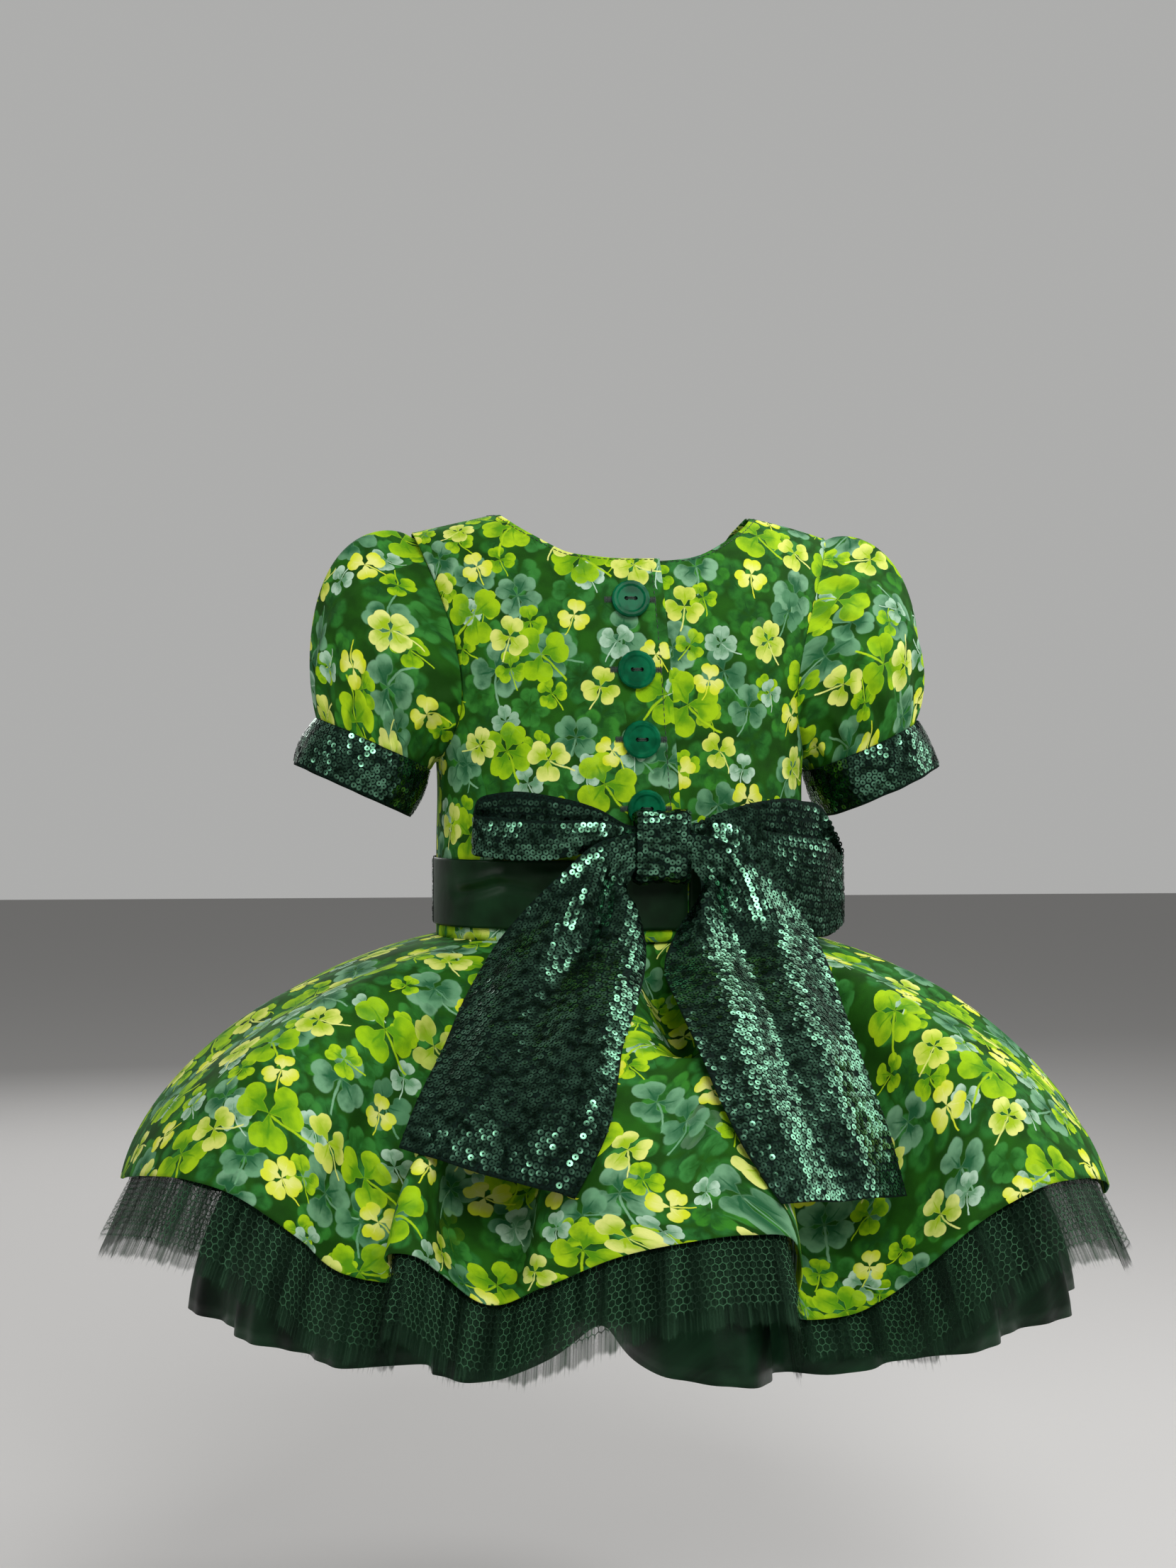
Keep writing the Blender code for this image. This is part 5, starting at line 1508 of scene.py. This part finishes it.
TAIL_RIGHT = (
    (18.5, 94.2, -158, 18.5, 93.6, -169),
    (42, 97.5, -165, 27, 95.5, -185),
    (62, 97, -181, 15, 105, -203),
    (79, 99, -203, 4.5, 126, -221.5),
    (85, 125, -226, 6, 156, -236),
    (88, 153.5, -249, 11, 184.5, -254),
    (93, 169, -271, 16.5, 206, -273),
    (98.5, 180, -290, 25, 221.5, -293),
    (104.5, 190.5, -320, 39, 231.5, -315),
)
TAIL_PLEATS_LEFT = (
    # share of the width at the knot, share at the end, height at the knot, height at the end, width
    (0.34, 0.25, 5, 1.5, 0.13),
    (0.80, 0.72, 5, 2.5, 0.13),
    (0.57, 0.50, -4.5, 0, 0.07),
    (0.90, 0.90, 1.5, 5, 0.08),
)
TAIL_PLEATS_RIGHT = (
    (0.20, 0.35, 5, 2.5, 0.13),
    (0.72, 0.80, 5, 1.5, 0.13),
    (0.46, 0.58, -4.5, 0, 0.07),
)

print("tables of the loops have", len(LOOP_LEFT), "and", len(LOOP_RIGHT), "rows")

# %% [markdown]
# Three formulas make the pieces: a ring for the knot, a band for a loop, and a fan for a tail.

# %% Bow forms
def knot_surface():
    """Knot: a superellipse round the bow's middle, drawn in halfway, that leans back at the top.

    Its side edges are turned in round the gathered cloth, and gathers run round it as cosines.
    """
    turns = np.arange(KNOT_COLUMNS) * 2 * np.pi / KNOT_COLUMNS
    turn, column = np.meshgrid(turns, np.arange(len(KNOT_STATIONS)), indexing="ij")
    station, turned_in = (np.array(part)[column] for part in (KNOT_STATIONS, KNOT_TURNED_IN))
    begins = KNOT_GATHER_TURN[0] + KNOT_GATHER_TURN[1] * np.cos(turn)
    gathers = np.cos(2 * np.pi * KNOT_GATHER_NUMBER * station + begins)
    pinch = turned_in * (1 - KNOT_PINCH * np.cos(np.pi * station) + KNOT_GATHERS * gathers)
    y = KNOT_SIZE[1] / 2 * turned_in * squared(np.cos(turn), KNOT_POWER)
    z = KNOT_SIZE[2] / 2 * pinch * squared(np.sin(turn), KNOT_POWER)
    return np.array(KNOT_MIDDLE) + np.stack([station * KNOT_SIZE[0], y - KNOT_LEAN * z, z], axis=-1)


def loop_surface(rows):
    """A loop: a band that runs out from the knot, turns and comes back behind itself.

    Its visible side is puffed out by a sine across the band, where the band is wide.
    """
    table = np.array(rows)
    along = run_length(table[:, :2])
    across, depth, low, high = smooth(
        np.linspace(0, along[-1], LOOP_COLUMNS), along, table).T[:, :, None]
    share = np.linspace(0, 1, LOOP_ROWS)[None, :]
    height = low * (1 - share) + high * share
    front = ease((np.linspace(0, 1, LOOP_COLUMNS) - LOOP_FRONT_FROM) / LOOP_FRONT_OVER)[:, None]
    tall = ((high - low) / LOOP_PUFF_FROM).clip(0.0, 1.0)
    depth = depth + LOOP_PUFF * tall * front * np.sin(np.pi * share)
    return np.stack([across + 0 * share, -depth, height], axis=-1)


def tail_surface(rows, pleats, outward):
    """A tail between its outer and inner edges, with its pleats.

    Across the tail the angle about the axis, the distance from it and the height change evenly.
    Pleats are ridges of exp(-(share / width) ** 2) that sink from the knot to the end.
    """
    table = np.array(rows)
    place = np.linspace(0, len(table) - 1, TAIL_ROWS)
    outer_x, outer_depth, outer_z, inner_x, inner_depth, inner_z = smooth(
        place, np.arange(len(table)), table).T
    share = np.linspace(0, 1, TAIL_COLUMNS)[:, None]
    angle, radius, height = (outer * (1 - share) + inner * share for outer, inner in (
        (np.arctan2(outer_x, outer_depth), np.arctan2(inner_x, inner_depth)),
        (np.hypot(outer_x, outer_depth), np.hypot(inner_x, inner_depth)),
        (outer_z, inner_z)))
    down = (place / (len(table) - 1))[None, :]
    ridge = 0 * angle
    for at_knot, at_end, high, low, width in pleats:
        middle = at_knot + (at_end - at_knot) * down
        rise = (low + (high - low) * (1 - down)) * ease((down - PLEATS_FROM) / PLEATS_OVER)
        ridge = ridge + rise * np.exp(-((share - middle) / width) ** 2)
    grid = np.stack([radius * np.sin(angle), -radius * np.cos(angle), height], axis=-1)
    return grid + ridge[..., None] * grid_normals(grid, outward=outward)


print("the knot stands", round(-float(knot_surface()[..., 1].min()), 1), "mm behind the middle")

# %% [markdown]
# Small ripples go over each piece before it becomes cloth. A loop is open at its ends, so the part
# of its inner side that shows gets sequins too.

# %% Bow
KNOT_RIPPLES, LOOP_RIPPLES, TAIL_RIPPLES = (0.9, 16.0, 5), (1.3, 22.0, 7), (1.0, 34.0, 9)
LOOP_BACK = (6, 11)
BOW_LOOPS = (
    # name, node, table, outward side, flat size
    ("bow_band_left", "bow_loop_left", LOOP_LEFT, 1, (0.19, 0.028)),
    ("bow_band_right", "bow_loop_right", LOOP_RIGHT, -1, (0.21, 0.045)),
)
BOW_TAILS = (
    # name, node, table, pleats, outward side
    ("bow_end_left", "bow_tail_left", TAIL_LEFT, TAIL_PLEATS_LEFT, -1),
    ("bow_end_right", "bow_tail_right", TAIL_RIGHT, TAIL_PLEATS_RIGHT, 1),
)


def add_bow():
    """Knot, loops and tails in sequin cloth with a satin back, and the surfaces for the sequins."""
    knot = rippled(knot_surface(), *KNOT_RIPPLES, closed=True)
    piece = add_cloth("bow_middle", knot, metres_of_cloth(knot, closed=True),
                      [sequin_cloth, satin], "sequin_cloth", ["bow_knot"], closed=True)
    sequinned["bow_middle"] = (knot, grid_normals(knot, closed=True))
    for name, node, rows, outward, flat_size in BOW_LOOPS:
        grid = rippled(loop_surface(rows), *LOOP_RIPPLES, closed=True, outward=outward)
        piece = add_cloth(name, grid, metres_of_cloth(grid, closed=True), [sequin_cloth],
                          "sequin_cloth", [node], closed=True, outward=outward)
        normals = grid_normals(grid, closed=True, outward=outward)
        sequinned[name] = (grid, normals)
        back = slice(0, len(grid) * LOOP_BACK[0] // LOOP_BACK[1])
        sequinned[name + "_inside"] = ((grid - CLOTH_WALL * normals)[back], -normals[back])
    for name, node, rows, pleats, outward in BOW_TAILS:
        grid = rippled(tail_surface(rows, pleats, outward), *TAIL_RIPPLES, outward=outward)
        piece = add_cloth(name, grid, metres_of_cloth(grid), [sequin_cloth, satin],
                          "sequin_cloth", [node], outward=outward)
        sequinned[name] = (grid, grid_normals(grid, outward=outward))


add_bow()

# %% [markdown]
# ## Sequins
#
# Each sequin is a small ring, nearly flat. They are sewn in rows with every second row set over by
# half a step, and hang a little loose, so each is tilted its own way. A few are missing. One ring
# is a few dozen points, and all rings of a piece are one mesh, worked out as one array.

# %% Sequins
SEQUIN_RADII = (0.5, 1.0, 1.5)
SEQUIN_CUP = (0.0, 0.012, 0.05)
SEQUIN_SIDES = 8
SEQUIN_PITCH = 3.15
SEQUIN_ROW_STEP = 0.87
SEQUIN_MARGINS = (0.8, 1.0)
SEQUIN_MISSING = 0.03
SEQUIN_SCATTER = 0.12
SEQUIN_TILT = 0.06
SEQUIN_LIFT = 0.35
FIRST_SEED = 11
CLOSED_PIECES = ("cuff_left", "cuff_right", "bow_middle", "bow_band_left", "bow_band_right")


def ring_faces(rings, sides):
    """Four-sided faces between rings of points that follow each other, by the points' numbers."""
    ring, side = (index.ravel() for index in np.meshgrid(
        np.arange(rings - 1), np.arange(sides), indexing="ij"))
    here, after = ring * sides + side, ring * sides + (side + 1) % sides
    return np.stack([here, after, after + sides, here + sides], axis=1)


def copies_mesh(name, places, faces):
    """One mesh of many small copies, from the points of each copy and the faces of one."""
    starts = math.prod(places.shape[1:-1]) * np.arange(len(places))
    faces = faces[None] + starts[:, None, None]
    mesh = bpy.data.meshes.new(name)
    mesh.from_pydata((places.reshape(-1, 3) * MM).tolist(), [], faces.reshape(-1, 4).tolist())
    mesh.shade_smooth()
    return mesh


def at_places(grid, column, row):
    """Values of a grid at places between its columns and rows, by their four neighbours."""
    i = np.clip(np.floor(column).astype(int), 0, grid.shape[0] - 2)
    j = np.clip(np.floor(row).astype(int), 0, grid.shape[1] - 2)
    a, b = (column - i)[..., None], (row - j)[..., None]
    low = grid[i, j] * (1 - a) + grid[i + 1, j] * a
    high = grid[i, j + 1] * (1 - a) + grid[i + 1, j + 1] * a
    return low * (1 - b) + high * b


def sequin_places(points, closed):
    """Columns and rows of a grid at which sequins are sewn, in rows that are a step apart."""
    if closed:
        points = np.concatenate([points, points[:1]])
    flat = metres_of_cloth(points)
    down = flat[..., 1].mean(axis=0)
    end_margin, row_margin = SEQUIN_MARGINS
    rows = np.arange(SEQUIN_PITCH * 0.5, down[-1] - row_margin, SEQUIN_PITCH * SEQUIN_ROW_STEP)
    columns, at_rows = [], []
    for number, row in enumerate(rows):
        place = float(np.interp(row, down, np.arange(len(down))))
        along = flat[:, int(round(place)), 0]
        begins = SEQUIN_PITCH * (0.5 + 0.5 * (number % 2))
        across = np.arange(begins, along[-1] - end_margin, SEQUIN_PITCH)
        columns.append(np.interp(across, along, np.arange(len(along))))
        at_rows.append(np.full(len(across), place))
    return np.concatenate(columns), np.concatenate(at_rows)


def sequin_mesh(name, points, normals, closed, seed):
    """The rings on one piece. A ring's points are middle + radius * (cos, sin) + cup * normal.

    The circles of a ring grow outwards, so its faces are turned over to look away from the cloth.
    """
    chance = np.random.default_rng(seed)
    column, row = sequin_places(points, closed)
    kept = chance.random(len(column)) > SEQUIN_MISSING
    column, row = column[kept], row[kept]
    column = np.clip(column + chance.normal(0, SEQUIN_SCATTER, len(column)), 0, None)
    row = row + chance.normal(0, SEQUIN_SCATTER, len(row))
    if closed:
        points, normals = (np.concatenate([part, part[:1]]) for part in (points, normals))
    normal = unit(at_places(normals, column, row))
    middle = at_places(points, column, row) + SEQUIN_LIFT * normal
    tilted = unit(normal + chance.normal(0, SEQUIN_TILT, normal.shape))
    aside = unit(np.cross(tilted, chance.normal(0, 1, normal.shape)))
    other = np.cross(tilted, aside)
    turn = np.arange(SEQUIN_SIDES) * 2 * np.pi / SEQUIN_SIDES
    cosine, sine = np.cos(turn)[:, None], np.sin(turn)[:, None]
    ring = aside[:, None] * cosine + other[:, None] * sine
    radii, cups = (np.array(part)[:, None, None] for part in (SEQUIN_RADII, SEQUIN_CUP))
    places = middle[:, None, None] + ring[:, None] * radii + tilted[:, None, None] * cups
    faces = ring_faces(len(SEQUIN_RADII), SEQUIN_SIDES)
    return copies_mesh(name, places, faces[:, [0, 3, 2, 1]])


sequin_count = 0
for seed, (name, (points, normals)) in enumerate(sequinned.items(), start=FIRST_SEED):
    mesh = sequin_mesh(name + "_sequins", points, normals, name in CLOSED_PIECES, seed)
    add_piece(name + "_sequins", mesh, [sequin], "sequin_cloth")
    sequin_count += len(mesh.vertices) // (SEQUIN_SIDES * len(SEQUIN_RADII))
print("sequins sewn on:", sequin_count)

# %% [markdown]
# ## Buttons and stitches
#
# The four buttons are kept as the solid model has them, and get the gloss of green plastic. A
# dark thread runs through the two holes of each. The placket and the neckline are topstitched,
# and each buttonhole is a bar of close stitches, of which both ends show beside its button.
# A stitch is a short bent tube whose ends dip into the cloth.

# %% Stitch
BUTTON_HEIGHTS = (-45.5, -79.5, -113.5, -147.5)
BUTTON_THICKNESS = 3.0
BUTTON_DISH = 0.6
BUTTON_HOLE_SPACING = 4.4
BUTTONHOLE_LENGTH = 25.0
BUTTONHOLE_HEIGHT = 3.2
BUTTONHOLE_STEP = 0.55
NECK_STITCH, PLACKET_STITCH = 2.6, 5.0
STITCH_LENGTH, STITCH_GAP, STITCH_FROM = 2.2, 0.7, 0.5
STITCH_SIDES, STITCH_STATIONS = 6, 5
STITCH_TAPER = 0.35
STITCH_ASIDE = 3
THREAD_SPACING = 0.4
SEAM_LIFT, BUTTONHOLE_LIFT = 0.1, 0.15
# Each thread: thickness and rise
BUTTON_THREAD, BUTTONHOLE_THREAD, TOPSTITCH_THREAD = (0.75, 0.3), (0.62, 0.25), (0.42, 0.18)


def stitch_mesh(name, starts, ends, normals, thickness, rise):
    """Tubes from each start to its end, bent out by rise * sin(pi t) and thinner at the ends."""
    starts, ends, normals = (np.asarray(part, float) for part in (starts, ends, normals))
    t = np.linspace(0, 1, STITCH_STATIONS)[None, :, None]
    bend = np.sin(np.pi * t)
    line = starts[:, None] + (ends - starts)[:, None] * t + rise * bend * normals[:, None]
    aside = unit(np.cross(ends - starts, normals))[:, None, None]
    turn = np.arange(STITCH_SIDES)[:, None] * 2 * np.pi / STITCH_SIDES
    radius = (thickness / 2 * (STITCH_TAPER + (1 - STITCH_TAPER) * bend))[..., None]
    ring = aside * np.cos(turn) + normals[:, None, None] * np.sin(turn)
    places = line[:, :, None] + radius * ring
    return copies_mesh(name, places, ring_faces(STITCH_STATIONS, STITCH_SIDES))


def stitched_line(points, normals):
    """Starts, ends and normals of the stitches of a seam that follows a line of points."""
    along = run_length(points)
    begin = np.arange(STITCH_FROM, along[-1] - STITCH_LENGTH, STITCH_LENGTH + STITCH_GAP)
    return [np.stack([np.interp(place, along, part[:, axis]) for axis in range(3)], axis=-1)
            for place, part in ((begin, points), (begin + STITCH_LENGTH, points), (begin, normals))]


def inside_edge(points, normals, column, step, rows, distance):
    """Line of points a distance inside a panel's edge, which is one of its columns."""
    edge, normal = points[column, rows], normals[column, rows]
    inwards = unit(points[column + step, rows] - edge)
    return edge + distance * inwards + SEAM_LIFT * normal, normal


print("a stitch has", STITCH_SIDES * STITCH_STATIONS, "points")

# %% [markdown]
# Every stitch is placed on the bodice's own surface. The buttons' threads and the buttonholes go by
# the buttons' heights, and the topstitching follows the panels' edges.

# %% Buttons and stitches
def button_threads():
    """Two stitches through the holes of each button, at the bottom of its dish."""
    heights = np.array(BUTTON_HEIGHTS)
    angle = angle_at(opening_middle(heights), heights)
    normal = torso_normal(angle, heights, -1)
    seat = lifted(torso(angle, heights, -1), normal) + LAYER * normal
    level = unit(np.cross(normal, np.cross(np.array([1.0, 0.0, 0.0]), normal)))
    top = seat + (BUTTON_THICKNESS - BUTTON_DISH) * normal
    across = BUTTON_HOLE_SPACING / 2 * level
    starts = np.concatenate([top - across + shift * np.array([0.0, 0.0, 1.0])
                             for shift in (-THREAD_SPACING, THREAD_SPACING)])
    return starts, starts + np.tile(2 * across, (2, 1)), np.tile(normal, (2, 1))


def buttonhole_stitches():
    """Upright stitches, close together along each buttonhole, from its lower to its upper side."""
    heights = np.array(BUTTON_HEIGHTS)
    half = BUTTONHOLE_LENGTH / 2
    offsets = np.arange(-half, half, BUTTONHOLE_STEP)
    x = (opening_middle(heights)[:, None] + offsets[None, :]).ravel()
    ends, normals = [], []
    for rise in (-0.5, 0.5):
        height = np.repeat(heights, len(offsets)) + rise * BUTTONHOLE_HEIGHT
        at = angle_at(x, height)
        normals.append(torso_normal(at, height, -1))
        ends.append(lifted(torso(at, height, -1), normals[-1]) + BUTTONHOLE_LIFT * normals[-1])
    return ends[0], ends[1], normals[0]


def topstitching():
    """Running stitches beside the free edge of the placket and along both necklines."""
    neck_row = PANEL_FINE_ROWS * NECK_ROW // PANEL_ROWS
    left, right, front = (bodice_panels[name] for name in ("left", "right", "front"))
    middle = len(front[0]) // 2
    below, above = slice(0, neck_row), slice(neck_row, None)
    lines = [inside_edge(*cloth, column, step, rows, distance)
             for cloth, column, step, rows, distance in (
                 (left, 0, STITCH_ASIDE, below, PLACKET_STITCH),
                 (left, 0, STITCH_ASIDE, above, NECK_STITCH),
                 (right, 0, STITCH_ASIDE, above, NECK_STITCH),
                 (front, middle, STITCH_ASIDE, above, NECK_STITCH),
                 (front, middle - 1, -STITCH_ASIDE, above, NECK_STITCH))]
    runs = [stitched_line(points, normals) for points, normals in lines]
    starts, ends, normals = (np.concatenate(part) for part in zip(*runs))
    return starts, ends, unit(normals)


for name, stitches, thread, slot in (
        ("button_threads", button_threads(), BUTTON_THREAD, "button_plastic"),
        ("buttonholes", buttonhole_stitches(), BUTTONHOLE_THREAD, "print_cotton"),
        ("topstitching", topstitching(), TOPSTITCH_THREAD, "print_cotton")):
    add_piece(name, stitch_mesh(name, *stitches, *thread), [sewing_thread], slot)
    print(name, "have", len(stitches[0]), "stitches")
for number in range(1, len(BUTTON_HEIGHTS) + 1):
    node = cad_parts[f"button_{number}"]
    node.data.materials.clear()
    node.data.materials.append(button_plastic)

# %% [markdown]
# ## Floor and light
#
# The dress hangs over a plain pale floor. Five soft lights stand round it: a ceiling light a
# little to the right, a window on the right, a large one above the camera, a small one on the
# left, and one at the far side that gives the edges a rim. The room itself is dim, with a pale
# wall on the far side, so its light grows with the direction's second coordinate.

# %% Floor and light
FLOOR_HEIGHT, FLOOR_SIZE = -0.62, 9.0
FLOOR_COLOUR, ROOM_COLOUR = (0.60, 0.59, 0.58), (1.0, 1.0, 0.985, 1.0)
LIGHTS = (
    # name, place, size, power
    ("ceiling", (0.90, 0.25, 1.40), 0.95, 12.0),
    ("window", (1.60, 0.05, 0.55), 1.0, 10.0),
    ("front", (0.2, -2.2, 1.25), 1.4, 48.0),
    ("side", (-1.9, -0.6, 0.6), 0.6, 5.0),
    ("rear", (-0.4, 2.2, 0.9), 1.6, 16.0),
)
AIM = Vector((0.0, 0.0, -0.2))
ROOM_LIGHT = {"From Min": -0.2, "From Max": 0.85, "To Min": 0.12, "To Max": 0.42}


floor_mesh = bpy.data.meshes.new("floor")
corners = [(x * FLOOR_SIZE, y * FLOOR_SIZE, FLOOR_HEIGHT)
           for x, y in ((-1, -1), (1, -1), (1, 1), (-1, 1))]
floor_mesh.from_pydata(corners, [], [(0, 1, 2, 3)])
floor = bpy.data.objects.new("floor", floor_mesh)
bpy.context.collection.objects.link(floor)
floor_mesh.materials.append(Finish("floor_paint", base_color=FLOOR_COLOUR, roughness=0.9).material)
floor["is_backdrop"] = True
for name, place, size, power in LIGHTS:
    light = bpy.data.objects.new(name, bpy.data.lights.new(name, "AREA"))
    light.data.shape = "DISK"
    light.data.size = size
    light.data.energy = power
    light.location = place
    light.rotation_mode = "QUATERNION"
    light.rotation_quaternion = (AIM - Vector(place)).to_track_quat("-Z", "Y")
    bpy.context.collection.objects.link(light)
world = bpy.data.worlds.new("studio")
bpy.context.scene.world = world
world.use_nodes = True
tree = world.node_tree
behind = tree.nodes.new("ShaderNodeSeparateXYZ")
wall = tree.nodes.new("ShaderNodeMapRange")
wall.interpolation_type = "SMOOTHSTEP"
for socket, value in ROOM_LIGHT.items():
    wall.inputs[socket].default_value = value
tree.links.new(tree.nodes.new("ShaderNodeTexCoord").outputs["Generated"], behind.inputs[0])
tree.links.new(behind.outputs["Y"], wall.inputs["Value"])
tree.links.new(wall.outputs[0], tree.nodes["Background"].inputs["Strength"])
tree.nodes["Background"].inputs["Color"].default_value = ROOM_COLOUR
print("lights:", [row[0] for row in LIGHTS])

# %% Finish
bpy.context.view_layer.update()
visual_box = [list(corner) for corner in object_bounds()]
print("visual model from", visual_box[0], "to", visual_box[1])
